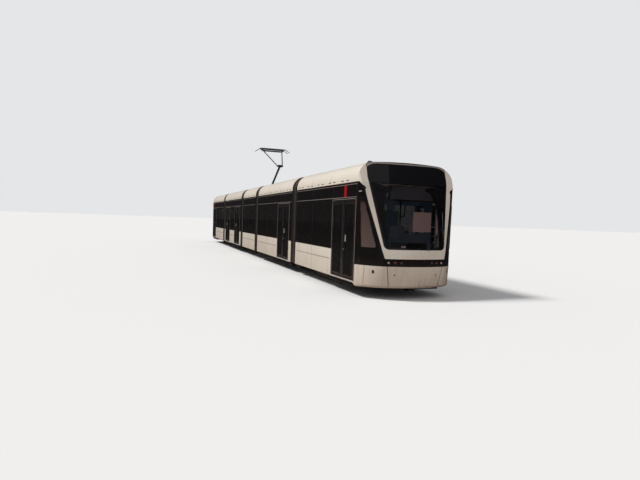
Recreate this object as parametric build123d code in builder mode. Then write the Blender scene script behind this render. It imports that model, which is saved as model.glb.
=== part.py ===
"""Five-section low-floor tram, double ended, hinged at four gangways.

Millimetres. +X runs to the leading cab, +Y to the left, +Z up. The origin lies under the middle
of the tram at the lowest point of the wheel flanges, so the rail top is at z = RAIL.
"""
import os
from collections import namedtuple

from build123d import *

os.makedirs("parts", exist_ok=True)

# Driving dimensions: heights are given above the rail top and raised by the flange depth
RAIL = 28.0
HALF_LENGTH = 13500.0
HALF_WIDTH = 1325.0
PIVOT_INNER = 1725.0
CAB_SECTION = 5930.0
PIVOT_OUTER = HALF_LENGTH - CAB_SECTION
GAP_HALF = 280.0
SEAT_GAP = 0.3

# Body heights
UNDER_Z = RAIL + 200.0
SILL_Z = RAIL + 322.0
FLOOR_Z = RAIL + 350.0
GROOVE_Z = RAIL + 770.0
STRIP_Z = RAIL + 950.0
WAIST_Z = RAIL + 1042.0
SCREEN_Z = RAIL + 1165.0
CEILING_Z = RAIL + 2470.0
CANT_Z = RAIL + 2747.0
DECK_Z = RAIL + 3080.0
ROOF_Z = RAIL + 3265.0

# Walls, glazing and doors
WALL = 70.0
GLASS = 12.0
PANE_GAP = 6.0
WINDOW_TOP = RAIL + 2400.0
WINDOW_SILL = WAIST_Z + 60.0
WINDOW_POST = 90.0
WINDOW_MARGIN = 110.0
WINDOW_CORNER = 60.0
PORTAL = 1530.0
PORTAL_TOP = RAIL + 2330.0
SILL_BAR = 30.0
LEAF_THICK = 40.0
LEAF_STILE = 75.0
LEAF_GAP = 6.0
LEAF_WIDTH = (PORTAL - 3 * LEAF_GAP) / 2
LEAF_LOW_Z = SILL_Z + SILL_BAR + SEAT_GAP
LEAF_HEIGHT = PORTAL_TOP - LEAF_GAP - LEAF_LOW_Z
LEAF_MID_Z = LEAF_LOW_Z + LEAF_HEIGHT / 2
LEAF_INSET = 2.0
PANE_WIDTH = LEAF_WIDTH - 2 * LEAF_STILE
PANE_HEIGHT = LEAF_HEIGHT - 2 * LEAF_STILE
DOOR_CAB = HALF_LENGTH - 1525.0
DOOR_OUTER = PIVOT_OUTER - 1355.0
DOOR_INNER = PIVOT_INNER + 1440.0
CAB_X = DOOR_CAB + PORTAL / 2
GROOVE = 8.0

# Floor, wheel boxes and gangway turntable
FLOOR_THICK = 60.0
FLOOR_TOP_Z = RAIL + 430.0
AISLE_HALF = 500.0
BOX_TOP_Z = RAIL + 690.0
BOX_WALL = 35.0
BOX_HALF = 1330.0
RAMP = 300.0
TURN_R = 600.0
TURN_GAP = 12.0
TURN_THICK = 30.0
PIN_R = 60.0
PIN_GAP = 0.8
TONGUE_HALF = 130.0
TONGUE_R = 155.0
UPPER_TONGUE = (RAIL + 302.0, RAIL + 352.0)
LOWER_TONGUE = (RAIL + 242.0, RAIL + 292.0)

# Cab floor and towing eye
CAB_FLOOR_X = HALF_LENGTH - 350.0
CAB_FLOOR_HALF = HALF_WIDTH - 545.0
TOW_X = HALF_LENGTH - 320.0
TOW_R = 25.0
TOW_THICK = 40.0

# Running gear
BOGIE_X = PIVOT_OUTER + 1960.0
WHEELBASE = 1800.0
WHEEL_R = 300.0
FLANGE_R = WHEEL_R + RAIL
TRACK_HALF = 1435.0 / 2
TREAD_WIDTH = 95.0
FLANGE_WIDTH = 32.0
AXLE_R = 50.0
AXLE_Z = FLANGE_R
FRAME_Y = TRACK_HALF + 187.5
FRAME_THICK = 70.0
BEARING_R = 130.0
SWIVEL_R = 70.0
SWIVEL_LOW_Z = RAIL + 270.0
JOURNAL_Y = FRAME_Y + 30.0
HUB_DEPTH = 60.0
BEAM_X = 330.0
SPRING_Y = FRAME_Y
SPRING_R = 110.0
BRAKE_HALF = 500.0

# Roof edge: an upright foot, a shoulder arc and a deck between the two fairings
FAIRING_R = 450.0
FAIRING_TOP = 55.0
DOME = 25.0
REVEAL = 35.0

# Roof cases by section number: start and end from the section's low end, half width, height over the deck
ROOF_CASES = {
    1: [(350, 1550, 640, 200), (1750, 3050, 640, 185), (3350, 4350, 600, 170)],
    2: [(395, 1695, 640, 200), (1995, 3395, 620, 180), (3695, 4895, 640, 200)],
    3: [(1745, 2695, 640, 180)],
}

# Seats: side profile of a pair from its foot, and rows by section as (distance from its low end,
# facing, base)
SEAT_MID_Y = HALF_WIDTH - 445.0
SEAT_PAIR = 700.0
SEAT_PROFILE = [(-60, 0), (60, 0), (80, 360), (230, 385), (230, 430), (-150, 410), (-230, 880),
                (-270, 880), (-200, 370), (-80, 360)]
SEAT_ROWS = {
    1: [(650, 1, BOX_TOP_Z), (1450, -1, BOX_TOP_Z), (1910, 1, BOX_TOP_Z), (2710, -1, BOX_TOP_Z)],
    2: [(495, 1, FLOOR_Z), (1295, -1, FLOOR_Z), (1745, 1, FLOOR_Z),
        (2345, 1, FLOOR_TOP_Z), (3045, -1, FLOOR_TOP_Z)],
    3: [(445, 1, BOX_TOP_Z), (1195, -1, BOX_TOP_Z), (1695, 1, BOX_TOP_Z), (2445, -1, BOX_TOP_Z)],
}

# Gangway bellows
FOLDS = 5
FOLD_DEPTH = 35.0
BELLOWS_INSET = 35.0
BELLOWS_INNER = 150.0

# Pantograph: equal arms, so the head rises straight above the foot
PANTO_X = -1050.0
PANTO_FOOT_Z = RAIL + 3400.0
PANTO_ARM = 1800.0
PANTO_ANGLE = 30.0
PANTO_PIN = 22.0
HEAD_HALF = 480.0
STRIP_HALF = 660.0

# Sections 1 to 3 from the leading cab; sections 4 and 5 are sections 2 and 1 turned half round
Section = namedtuple("Section", "number low high doors_right doors_left bogie cab")
SECTIONS = [
    Section(1, PIVOT_OUTER + GAP_HALF, CAB_X, [DOOR_CAB], [DOOR_CAB], BOGIE_X, 1),
    Section(2, PIVOT_INNER + GAP_HALF, PIVOT_OUTER - GAP_HALF,
            [DOOR_OUTER], [DOOR_INNER, DOOR_OUTER], None, 0),
    Section(3, -PIVOT_INNER + GAP_HALF, PIVOT_INNER - GAP_HALF, [], [], 0.0, 0),
]

# Nose outlines, from the skirt up: height, then how far the end of the straight side, the corner and
# the tip lie behind the foremost point, and how far the corner lies inside the side
Level = namedtuple("Level", "z side corner_back corner_in tip")
NOSE = [
    Level(RAIL + 250.0, 750.0, 285.0, 510.0, 140.0),
    Level(RAIL + 300.0, 750.0, 238.0, 479.0, 88.0),
    Level(GROOVE_Z, 750.0, 150.0, 475.0, 0.0),
    Level(STRIP_Z, 750.0, 150.0, 475.0, 10.0),
    Level(SCREEN_Z, 740.0, 190.0, 445.0, 60.0),
    Level(CANT_Z, 670.0, 610.0, 60.0, 540.0),
    Level(ROOF_Z + 40.0, 850.0, 810.0, 35.0, 730.0),
]
NOSE_BACK = HALF_LENGTH - 1000.0
CHEEK_BULGE = 0.06
CAB_WALL = 60.0
SEAM = 0.6
SKIRT_SEAM = [(HALF_WIDTH - 728.0, 0.0), (HALF_WIDTH - 584.0, GROOVE_Z + 1)]
SKIRT_GAP = 18.0
SKIRT_CORNER = 90.0
MASK_BOTTOM = HALF_WIDTH - 515.0
MASK_TOP = HALF_WIDTH - 225.0
MASK_CORNER = 130.0
LAMP_BAND_X = HALF_LENGTH - 210.0
LAMP_R = 45.0
LAMP_Z = RAIL + 860.0
LAMP_PLACES = [HALF_WIDTH - 915.0, HALF_WIDTH - 765.0, HALF_WIDTH - 610.0]

# Pillar edge and side window seen from the side, as (distance behind the foremost point, height);
# everything ahead of the pillar edge faces forwards
PILLAR = [(135.0, STRIP_Z), (200.0, RAIL + 1222.0), (478.0, RAIL + 2262.0), (557.0, RAIL + 2567.0)]
PILLAR_BEND = [(594.0, RAIL + 2688.0), (650.0, RAIL + 2772.0)]
PILLAR_TOP = (845.0, ROOF_Z + 60.0)
CAB_WINDOW = [(570.0, RAIL + 1207.0), (275.0, RAIL + 1207.0), (525.0, RAIL + 2262.0),
              (600.0, RAIL + 2262.0)]
DESK_Z = RAIL + 1110.0
DRIVER_X = HALF_LENGTH - 940.0
DESK = [(540.0, FLOOR_Z), (380.0, FLOOR_Z), (270.0, GROOVE_Z), (270.0, DESK_Z), (570.0, DESK_Z - 60.0),
        (570.0, DESK_Z - 120.0), (510.0, DESK_Z - 160.0)]
PARTITION_X = HALF_LENGTH - 1490.0
PARTITION_HALF = HALF_WIDTH - 85.0
PANEL_Y = 560.0
PANEL = (900.0, 1100.0)


def save(part, name):
    part.label = name
    export_step(part, f"parts/{name}.step")


def side_plane(side, outer, thickness):
    """Plane of a wall layer whose outer face stands at `outer`; extrude it by `thickness`."""
    return Plane.XZ.offset(outer - thickness if side < 0 else -outer)


def doors_on(section, side):
    return section.doors_right if side < 0 else section.doors_left


def bays(section, side):
    """Stretches of side wall between the section's ends and its door portals."""
    edges = [section.low]
    for centre in sorted(doors_on(section, side)):
        edges += [centre - PORTAL / 2, centre + PORTAL / 2]
    edges.append(section.high)
    spans = list(zip(edges[::2], edges[1::2]))
    return [span for span in spans if span[1] - span[0] > 50.0]


def windows(bay):
    """Centres and width of the window openings in one bay."""
    low, high = bay[0] + WINDOW_MARGIN, bay[1] - WINDOW_MARGIN
    if high - low < 500.0:
        return [], 0.0
    count = max(1, round((high - low) / 1650.0))
    width = (high - low - (count - 1) * WINDOW_POST) / count
    return [low + width / 2 + i * (width + WINDOW_POST) for i in range(count)], width


def roof_outline():
    """Cross-section of a roof with its two side fairings."""
    shoulder = HALF_WIDTH - FAIRING_R
    with BuildSketch() as outline:
        with BuildLine():
            Polyline((0, CEILING_Z), (HALF_WIDTH - 275, CEILING_Z), (HALF_WIDTH - WALL, CEILING_Z + 110),
                     (HALF_WIDTH - WALL, CANT_Z - 10), (HALF_WIDTH - REVEAL, CANT_Z - 10),
                     (HALF_WIDTH - REVEAL, CANT_Z + 20), (HALF_WIDTH, CANT_Z + 20),
                     (HALF_WIDTH, ROOF_Z - FAIRING_R))
            RadiusArc((HALF_WIDTH, ROOF_Z - FAIRING_R), (shoulder, ROOF_Z), -FAIRING_R)
            Polyline((shoulder, ROOF_Z), (shoulder - FAIRING_TOP, ROOF_Z),
                     (shoulder - FAIRING_TOP - 20, DECK_Z), (0, DECK_Z))
            Line((0, DECK_Z), (0, CEILING_Z))
        make_face()
        mirror(about=Plane.YZ)
    return outline.sketch_local


def dome_outline():
    """Cross-section of the dome that closes the roof between its fairings."""
    shoulder = HALF_WIDTH - FAIRING_R
    with BuildSketch() as outline:
        with BuildLine():
            Polyline((-shoulder, ROOF_Z), (-shoulder, DECK_Z - 10), (shoulder, DECK_Z - 10),
                     (shoulder, ROOF_Z))
            ThreePointArc((shoulder, ROOF_Z), (0, ROOF_Z + DOME), (-shoulder, ROOF_Z))
        make_face()
    return outline.sketch_local


def nose_solid(inset):
    """Nose body lofted between level outlines; the inset moves every outline inwards."""
    with BuildPart() as nose:
        for level in NOSE:
            side_y = HALF_WIDTH - inset
            corner = (HALF_LENGTH - level.corner_back - 0.6 * inset,
                      min(HALF_WIDTH - level.corner_in - 0.6 * inset, side_y - 20))
            start = (HALF_LENGTH - level.side - 0.3 * inset, side_y)
            chord = (corner[0] - start[0], corner[1] - start[1])
            cheek = (start[0] + chord[0] / 2 - CHEEK_BULGE * chord[1],
                     start[1] + chord[1] / 2 + CHEEK_BULGE * chord[0])
            with BuildSketch(Plane.XY.offset(level.z)):
                with BuildLine():
                    Line((NOSE_BACK, side_y), start)
                    ThreePointArc(start, cheek, corner)
                    ThreePointArc(corner, (HALF_LENGTH - level.tip - inset, 0), (corner[0], -corner[1]))
                    ThreePointArc((corner[0], -corner[1]), (cheek[0], -cheek[1]),
                                  (start[0], -side_y))
                    Line((start[0], -side_y), (NOSE_BACK, -side_y))
                    Line((NOSE_BACK, -side_y), (NOSE_BACK, side_y))
                make_face()
        loft(ruled=True)
    return nose.part


def cab_section_prism(inset):
    """Prism along X with the cab's outer cross-section, flat below and domed on top."""
    radius = FAIRING_R - inset
    shoulder = HALF_WIDTH - FAIRING_R
    foot = ROOF_Z - FAIRING_R
    with BuildPart() as prism:
        with BuildSketch(Plane.YZ.offset(NOSE_BACK)):
            with BuildLine():
                Polyline((0, 0), (HALF_WIDTH - inset, 0), (HALF_WIDTH - inset, foot))
                RadiusArc((HALF_WIDTH - inset, foot), (shoulder, foot + radius), -radius)
                ThreePointArc((shoulder, foot + radius), (0, foot + radius + DOME),
                              (-shoulder, foot + radius))
                RadiusArc((-shoulder, foot + radius), (-HALF_WIDTH + inset, foot), -radius)
                Polyline((-HALF_WIDTH + inset, foot), (-HALF_WIDTH + inset, 0), (0, 0))
            make_face()
        extrude(amount=HALF_LENGTH - NOSE_BACK + 50)
    return prism.part


def nose_shape(inset):
    """The nose inside its plan outlines and its cross-section, both moved in by the inset."""
    with BuildPart() as shape:
        add(nose_solid(inset))
        add(cab_section_prism(inset), mode=Mode.INTERSECT)
    return shape.part


def tube(start, end, radius, mode=Mode.ADD):
    """Round bar between two points, added to the part being built."""
    axis = Vector(*end) - Vector(*start)
    with Locations(Plane(origin=start, z_dir=axis).location):
        Cylinder(radius, axis.length, align=(Align.CENTER, Align.CENTER, Align.MIN), mode=mode)


def block(x, y, z, mode=Mode.ADD):
    """Upright block from its three (low, high) spans."""
    with Locations(((x[0] + x[1]) / 2, (y[0] + y[1]) / 2, (z[0] + z[1]) / 2)):
        Box(x[1] - x[0], y[1] - y[0], z[1] - z[0], mode=mode)


def floor_levels(section):
    """Floor line along a section: high over the running gear, ramped down to each doorway.

    Between two doorways whose ramps would meet, the floor stays low.
    """
    doors = sorted(set(section.doors_right + section.doors_left))
    points = [(section.low, FLOOR_TOP_Z)]
    for centre in doors:
        low, high = centre - PORTAL / 2, centre + PORTAL / 2
        if centre > doors[0] and low - RAMP < points[-1][0]:
            points.pop()
        else:
            points += [(low - RAMP, FLOOR_TOP_Z), (low, FLOOR_Z)]
        points.append((high, FLOOR_Z))
        if section.cab == 0:
            points.append((high + RAMP, FLOOR_TOP_Z))
    if section.cab == 0:
        points.append((section.high, FLOOR_TOP_Z))
    else:
        points.append((CAB_FLOOR_X, FLOOR_Z))
    return points


def underframe(section):
    """Floor pan with its ramps, wheel boxes, turntable and pivot tongues."""
    inner = HALF_WIDTH - WALL
    levels = floor_levels(section)
    top_x = levels[-1][0]
    with BuildPart() as frame:
        with BuildSketch(Plane.XZ.offset(-inner)):
            with BuildLine():
                Polyline(*levels, (top_x, UNDER_Z), (section.low, UNDER_Z), close=True)
            make_face()
        extrude(amount=2 * inner)
        if section.cab:
            for side in (1, -1):
                block((CAB_X, CAB_FLOOR_X + 1), sorted((side * CAB_FLOOR_HALF, side * (inner + 1))),
                      (0, BOX_TOP_Z), Mode.SUBTRACT)
        if section.bogie is not None:
            low, high = section.bogie - BOX_HALF, section.bogie + BOX_HALF
            block((low, high), (-inner - 1, inner + 1), (0, FLOOR_TOP_Z - FLOOR_THICK), Mode.SUBTRACT)
            for side in (1, -1):
                outer = sorted((side * AISLE_HALF, side * inner))
                core = sorted((side * (AISLE_HALF + BOX_WALL), side * (inner + 1)))
                block((low, high), outer, (FLOOR_TOP_Z - FLOOR_THICK, BOX_TOP_Z))
                block((low + BOX_WALL, high - BOX_WALL), core,
                      (FLOOR_TOP_Z - FLOOR_THICK - 1, BOX_TOP_Z - BOX_WALL), Mode.SUBTRACT)
            tube((section.bogie, 0, FLOOR_TOP_Z - FLOOR_THICK), (section.bogie, 0, SWIVEL_LOW_Z), SWIVEL_R)
        for pivot, carries in gangways(section):
            end = section.low if pivot < section.low else section.high
            reach = sorted((end, pivot))
            if carries:
                tube((pivot, 0, FLOOR_TOP_Z - TURN_THICK), (pivot, 0, FLOOR_TOP_Z), TURN_R)
                block(reach, (-TONGUE_HALF, TONGUE_HALF), UPPER_TONGUE)
                tube((pivot, 0, UPPER_TONGUE[0]), (pivot, 0, UPPER_TONGUE[1]), TONGUE_R)
                tube((pivot, 0, LOWER_TONGUE[0] - 5), (pivot, 0, FLOOR_TOP_Z - 5), PIN_R)
            else:
                tube((pivot, 0, FLOOR_TOP_Z - TURN_THICK - TURN_GAP), (pivot, 0, FLOOR_TOP_Z + 1),
                     TURN_R + TURN_GAP, Mode.SUBTRACT)
                block(reach, (-TONGUE_HALF, TONGUE_HALF), LOWER_TONGUE)
                tube((pivot, 0, LOWER_TONGUE[0]), (pivot, 0, LOWER_TONGUE[1]), TONGUE_R)
                tube((pivot, 0, LOWER_TONGUE[0] - 1), (pivot, 0, LOWER_TONGUE[1] + 1),
                     PIN_R + PIN_GAP, Mode.SUBTRACT)
        if section.cab:
            block((TOW_X - 220, TOW_X + 60), (-90, 90), (UNDER_Z - TOW_THICK, UNDER_Z))
            tube((TOW_X, 0, UNDER_Z - TOW_THICK - 1), (TOW_X, 0, UNDER_Z + 1), TOW_R, Mode.SUBTRACT)
    return frame.part


def gangways(section):
    """Pivots that a section takes part in, and whether it carries the turntable there."""
    if section.number == 1:
        return [(PIVOT_OUTER, False)]
    if section.number == 2:
        return [(PIVOT_INNER, False), (PIVOT_OUTER, True)]
    return [(PIVOT_INNER, True), (-PIVOT_INNER, True)]


def side_walls(section):
    """Both side walls: a frame with window and door openings, skinned below the waist."""
    with BuildPart() as walls:
        for side in (1, -1):
            frame_thick = WALL - GLASS
            with BuildSketch(side_plane(side, HALF_WIDTH - GLASS, frame_thick)):
                add(wall_face(section, side, CANT_Z - 10))
                for bay in bays(section, side):
                    centres, width = windows(bay)
                    if centres:
                        middle = (WINDOW_SILL + WINDOW_TOP) / 2
                        with Locations(*[(x, middle) for x in centres]):
                            RectangleRounded(width, WINDOW_TOP - WINDOW_SILL, WINDOW_CORNER,
                                             mode=Mode.SUBTRACT)
            extrude(amount=frame_thick)
            with BuildSketch(side_plane(side, HALF_WIDTH, GLASS)):
                add(wall_face(section, side, WAIST_Z))
            extrude(amount=GLASS)
            for bay in bays(section, side):
                if bay[1] - bay[0] > 1000:
                    block((bay[0] + 200, bay[1] - 200),
                          sorted((side * (HALF_WIDTH - GROOVE / 2), side * (HALF_WIDTH + 1))),
                          (GROOVE_Z - GROOVE / 2, GROOVE_Z + GROOVE / 2), Mode.SUBTRACT)
    return walls.part


def wall_face(section, side, top):
    """Wall outline up to a height, less the doorways above their sill bars."""
    low = SILL_Z + SILL_BAR
    with BuildSketch() as outline:
        with Locations(((section.low + section.high) / 2, (SILL_Z + top) / 2)):
            Rectangle(section.high - section.low, top - SILL_Z)
        for centre in doors_on(section, side):
            with Locations((centre, (low + PORTAL_TOP) / 2)):
                Rectangle(PORTAL, PORTAL_TOP - low, mode=Mode.SUBTRACT)
    return outline.sketch_local


def glazing(section):
    """Flush outer glass of every bay, door header and door leaf."""
    low, high = WAIST_Z + PANE_GAP, CANT_Z - 18
    with BuildPart() as glass:
        for side in (1, -1):
            with BuildSketch(side_plane(side, HALF_WIDTH, GLASS - SEAT_GAP)):
                for start, end in bays(section, side):
                    with Locations(((start + end) / 2, (low + high) / 2)):
                        Rectangle(end - start - PANE_GAP, high - low)
                for centre in doors_on(section, side):
                    header = PORTAL_TOP + PANE_GAP
                    with Locations((centre, (header + high) / 2)):
                        Rectangle(PORTAL - PANE_GAP, high - header)
            extrude(amount=GLASS - SEAT_GAP)
            for x in leaf_centres(section, side):
                with BuildSketch(side_plane(side, HALF_WIDTH - LEAF_INSET - 10, GLASS)):
                    with Locations((x, LEAF_MID_Z)):
                        Rectangle(PANE_WIDTH - 2 * SEAT_GAP, PANE_HEIGHT - 2 * SEAT_GAP)
                extrude(amount=GLASS)
        if section.cab:
            add(cab_panes())
    return glass.part


def cab_panes():
    """Driver's side windows, following the cheeks of the nose."""
    with BuildPart() as panes:
        add(NOSE_OUTER)
        add(NOSE_GLASS, mode=Mode.SUBTRACT)
        block((NOSE_BACK - 1, CAB_X), (-2000, 2000), (0, ROOF_Z + 100), Mode.SUBTRACT)
        add(side_window_prism(SEAT_GAP), mode=Mode.INTERSECT)
    return panes.part


def leaf_centres(section, side):
    offset = (LEAF_WIDTH + LEAF_GAP) / 2
    return [centre + sign * offset for centre in doors_on(section, side) for sign in (-1, 1)]


def doors(section):
    """Sliding-plug door leaves, closed: frames round one tall pane each."""
    with BuildPart() as leaves:
        for side in (1, -1):
            for x in leaf_centres(section, side):
                with BuildSketch(side_plane(side, HALF_WIDTH - LEAF_INSET, LEAF_THICK)):
                    with Locations((x, LEAF_MID_Z)):
                        Rectangle(LEAF_WIDTH, LEAF_HEIGHT)
                        Rectangle(PANE_WIDTH, PANE_HEIGHT, mode=Mode.SUBTRACT)
                extrude(amount=LEAF_THICK)
    return leaves.part


def roof(section):
    """Roof beam with ceiling, side fairings and the equipment cases on its deck."""
    high = NOSE_BACK if section.cab else section.high
    with BuildPart() as top:
        with BuildSketch(Plane.YZ.offset(section.low)):
            add(roof_outline())
        extrude(amount=high - section.low)
        for start, end, half, height in ROOF_CASES[section.number]:
            if section.low + end > high:
                continue
            block((section.low + start, section.low + end), (-half, half), (DECK_Z - 10, DECK_Z + height))
        if section.cab:
            add(cab_roof())
    return top.part


def cab_roof():
    """Front end of the roof: the fairings close in a dome and end at the pillar line."""
    with BuildPart() as end:
        with BuildSketch(Plane.YZ.offset(NOSE_BACK)):
            add(roof_outline())
            add(dome_outline())
        extrude(amount=500)
        block((CAB_X - 20, NOSE_BACK + 501), (-2000, 2000), (0, CANT_Z - 10), Mode.SUBTRACT)
        add(nose_solid(0), mode=Mode.INTERSECT)
        add(ahead_of_pillar(-SEAM), mode=Mode.SUBTRACT)
    return end.part


def pillar_line(points, shift):
    return [(HALF_LENGTH - back + shift, z) for back, z in points]


def ahead_of_pillar(shift):
    """Prism across the cab that holds what lies ahead of the pillar line, above the lamp band."""
    with BuildPart() as prism:
        with BuildSketch(Plane.XZ.offset(-2000)):
            with BuildLine():
                Polyline(*pillar_line(PILLAR, shift))
                ThreePointArc(*pillar_line([PILLAR[-1]] + PILLAR_BEND, shift))
                Polyline(*pillar_line([PILLAR_BEND[-1], PILLAR_TOP], shift), (HALF_LENGTH + 500, ROOF_Z + 60),
                         (HALF_LENGTH + 500, STRIP_Z), pillar_line(PILLAR, shift)[0])
            make_face()
        extrude(amount=4000)
    return prism.part


def mask_prism(shrink):
    """Prism along X with the outline of the windscreen and its dark surround."""
    bottom, top = MASK_BOTTOM - shrink, MASK_TOP - shrink
    low = SCREEN_Z + shrink
    with BuildPart() as prism:
        with BuildSketch(Plane.YZ.offset(NOSE_BACK)) as outline:
            with BuildLine():
                Polyline((-bottom, low), (bottom, low), (top, CANT_Z + 120), (top, ROOF_Z + 60),
                         (-top, ROOF_Z + 60), (-top, CANT_Z + 120), close=True)
            make_face()
            fillet(outline.vertices().group_by(Axis.Y)[0], MASK_CORNER)
        extrude(amount=HALF_LENGTH - NOSE_BACK + 100)
    return prism.part


def side_window_prism(shrink):
    """Prism across the cab with the outline of the driver's side windows."""
    with BuildPart() as prism:
        with BuildSketch(Plane.XZ.offset(-2000)) as outline:
            with BuildLine():
                Polyline(*[(HALF_LENGTH - back, z) for back, z in CAB_WINDOW], close=True)
            make_face()
            fillet(outline.vertices(), 30)
            if shrink:
                offset(amount=-shrink)
        extrude(amount=4000)
    return prism.part


def cab_sides():
    """Dark side panels between the first door and the pillar, with the side window openings."""
    with BuildPart() as sides:
        add(NOSE_OUTER)
        add(NOSE_INNER, mode=Mode.SUBTRACT)
        block((NOSE_BACK - 1, CAB_X), (-2000, 2000), (0, ROOF_Z + 100), Mode.SUBTRACT)
        block((CAB_X - 1, HALF_LENGTH + 1), (-2000, 2000), (0, GROOVE_Z + SEAM), Mode.SUBTRACT)
        block((CAB_X - 1, HALF_LENGTH + 1), (-2000, 2000), (CANT_Z - 10 - SEAM, ROOF_Z + 100),
              Mode.SUBTRACT)
        add(ahead_of_pillar(-SEAM), mode=Mode.SUBTRACT)
        block((LAMP_BAND_X - SEAM, HALF_LENGTH + 1), (-2000, 2000), (0, STRIP_Z), Mode.SUBTRACT)
        add(side_window_prism(0), mode=Mode.SUBTRACT)
    return sides.part


def cab_front():
    """White ring round the windscreen, with the strip below it."""
    with BuildPart() as ring:
        add(NOSE_OUTER)
        add(NOSE_INNER, mode=Mode.SUBTRACT)
        add(ahead_of_pillar(0), mode=Mode.INTERSECT)
        add(mask_prism(0), mode=Mode.SUBTRACT)
    return ring.part


def windscreen():
    """Windscreen with its dark surround, carried up over the edge of the roof."""
    with BuildPart() as screen:
        add(NOSE_OUTER)
        add(NOSE_GLASS, mode=Mode.SUBTRACT)
        add(ahead_of_pillar(0), mode=Mode.INTERSECT)
        add(mask_prism(SEAM), mode=Mode.INTERSECT)
    return screen.part


def lamp_band():
    """Dark band under the strip, pierced for three lamps on each side."""
    with BuildPart() as band:
        add(NOSE_OUTER)
        add(NOSE_INNER, mode=Mode.SUBTRACT)
        block((NOSE_BACK - 1, HALF_LENGTH + 1), (-2000, 2000), (0, GROOVE_Z + SEAM), Mode.SUBTRACT)
        block((NOSE_BACK - 1, HALF_LENGTH + 1), (-2000, 2000), (STRIP_Z - SEAM, ROOF_Z + 100),
              Mode.SUBTRACT)
        block((NOSE_BACK - 1, LAMP_BAND_X), (-2000, 2000), (0, ROOF_Z), Mode.SUBTRACT)
        for y in lamp_rows():
            tube((CAB_X, y, LAMP_Z), (HALF_LENGTH + 50, y, LAMP_Z), LAMP_R, Mode.SUBTRACT)
    return band.part


def lamps():
    """Round lamps, their lenses following the band."""
    with BuildPart() as lenses:
        for y in lamp_rows():
            tube((CAB_X, y, LAMP_Z), (HALF_LENGTH + 50, y, LAMP_Z), LAMP_R - SEAT_GAP)
        add(NOSE_GLASS, mode=Mode.INTERSECT)
        add(NOSE_INNER, mode=Mode.SUBTRACT)
    return lenses.part


def lamp_rows():
    return [side * place for side in (1, -1) for place in LAMP_PLACES]


def bumper():
    """Bumper and the two side skirts that reach back to the first doors."""
    with BuildPart() as skirt:
        add(NOSE_OUTER)
        add(NOSE_INNER, mode=Mode.SUBTRACT)
        block((NOSE_BACK - 1, CAB_X), (-2000, 2000), (0, ROOF_Z + 100), Mode.SUBTRACT)
        block((CAB_X - 1, HALF_LENGTH + 1), (-2000, 2000), (GROOVE_Z, ROOF_Z + 100), Mode.SUBTRACT)
        with BuildSketch(Plane.YZ.offset(HALF_LENGTH - 500)):
            with BuildLine():
                (low, low_z), (high, high_z) = SKIRT_SEAM
                Polyline((low, low_z), (high, high_z), (high + SKIRT_GAP, high_z), (low + SKIRT_GAP, low_z),
                         close=True)
            make_face()
            mirror(about=Plane.YZ)
        extrude(amount=501, mode=Mode.SUBTRACT)
        add(skirt_corner(), mode=Mode.SUBTRACT)
    return skirt.part


def skirt_corner():
    """What lies outside the round lower corner at the back of the two side skirts."""
    low = NOSE[0].z
    with BuildPart() as corner:
        block((CAB_X - 1, CAB_X + SKIRT_CORNER), (-2000, 2000), (low - 1, low + SKIRT_CORNER))
        with Locations(Plane((CAB_X + SKIRT_CORNER, 2001, low + SKIRT_CORNER), z_dir=(0, -1, 0)).location):
            Cylinder(SKIRT_CORNER, 4002, align=(Align.CENTER, Align.CENTER, Align.MIN), mode=Mode.SUBTRACT)
    return corner.part


def driver_cab():
    """Desk, driver's seat and the partition behind it."""
    with BuildPart() as room:
        with BuildSketch(Plane.XZ.offset(-600)):
            with BuildLine():
                Polyline(*[(HALF_LENGTH - back, z) for back, z in DESK], close=True)
            make_face()
        extrude(amount=1200)
        tube((DRIVER_X, 0, FLOOR_Z), (DRIVER_X, 0, FLOOR_Z + 330), 90)
        block((DRIVER_X - 220, DRIVER_X + 240), (-240, 240), (FLOOR_Z + 320, FLOOR_Z + 430))
        with BuildSketch(Plane.XZ.offset(-230)):
            with BuildLine():
                Polyline((DRIVER_X - 220, FLOOR_Z + 400), (DRIVER_X - 110, FLOOR_Z + 400),
                         (DRIVER_X - 190, FLOOR_Z + 1130), (DRIVER_X - 270, FLOOR_Z + 1130), close=True)
            make_face()
        extrude(amount=460)
        with BuildSketch(Plane.YZ.offset(PARTITION_X)):
            with Locations((0, (FLOOR_Z + CEILING_Z) / 2)):
                Rectangle(2 * PARTITION_HALF, CEILING_Z - FLOOR_Z - 2 * SEAT_GAP)
            with Locations((-PANEL_Y, RAIL + 1722), (PANEL_Y, RAIL + 1722)):
                Rectangle(*PANEL, mode=Mode.SUBTRACT)
        extrude(amount=35)
    return room.part


def seats(section):
    """Moulded seats in pairs on each side of the aisle, facing as the row table says."""
    with BuildPart() as rows:
        for place, facing, base in SEAT_ROWS[section.number]:
            x = section.low + place
            for side in (1, -1):
                if any(abs(x - centre) < PORTAL / 2 + 350 for centre in doors_on(section, side)):
                    continue
                with BuildSketch(Plane.XZ.offset(-side * SEAT_MID_Y - SEAT_PAIR / 2)):
                    with BuildLine():
                        Polyline(*[(x + facing * dx, base + SEAT_GAP + dz) for dx, dz in SEAT_PROFILE],
                                 close=True)
                    make_face()
                extrude(amount=SEAT_PAIR)
    return rows.part


def bellows(pivot):
    """Pleated gangway bellows, an arch open at the bottom."""
    count = 2 * FOLDS - 1
    length = 2 * (GAP_HALF - SEAT_GAP)
    with BuildPart() as folds:
        for i in range(count):
            inset = BELLOWS_INSET + (0 if i % 2 == 0 else FOLD_DEPTH)
            start = pivot - length / 2 + i * length / count
            with BuildSketch(Plane.YZ.offset(start)):
                add(arch(inset))
                add(arch(BELLOWS_INNER), mode=Mode.SUBTRACT)
            extrude(amount=length / count)
    return folds.part


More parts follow.
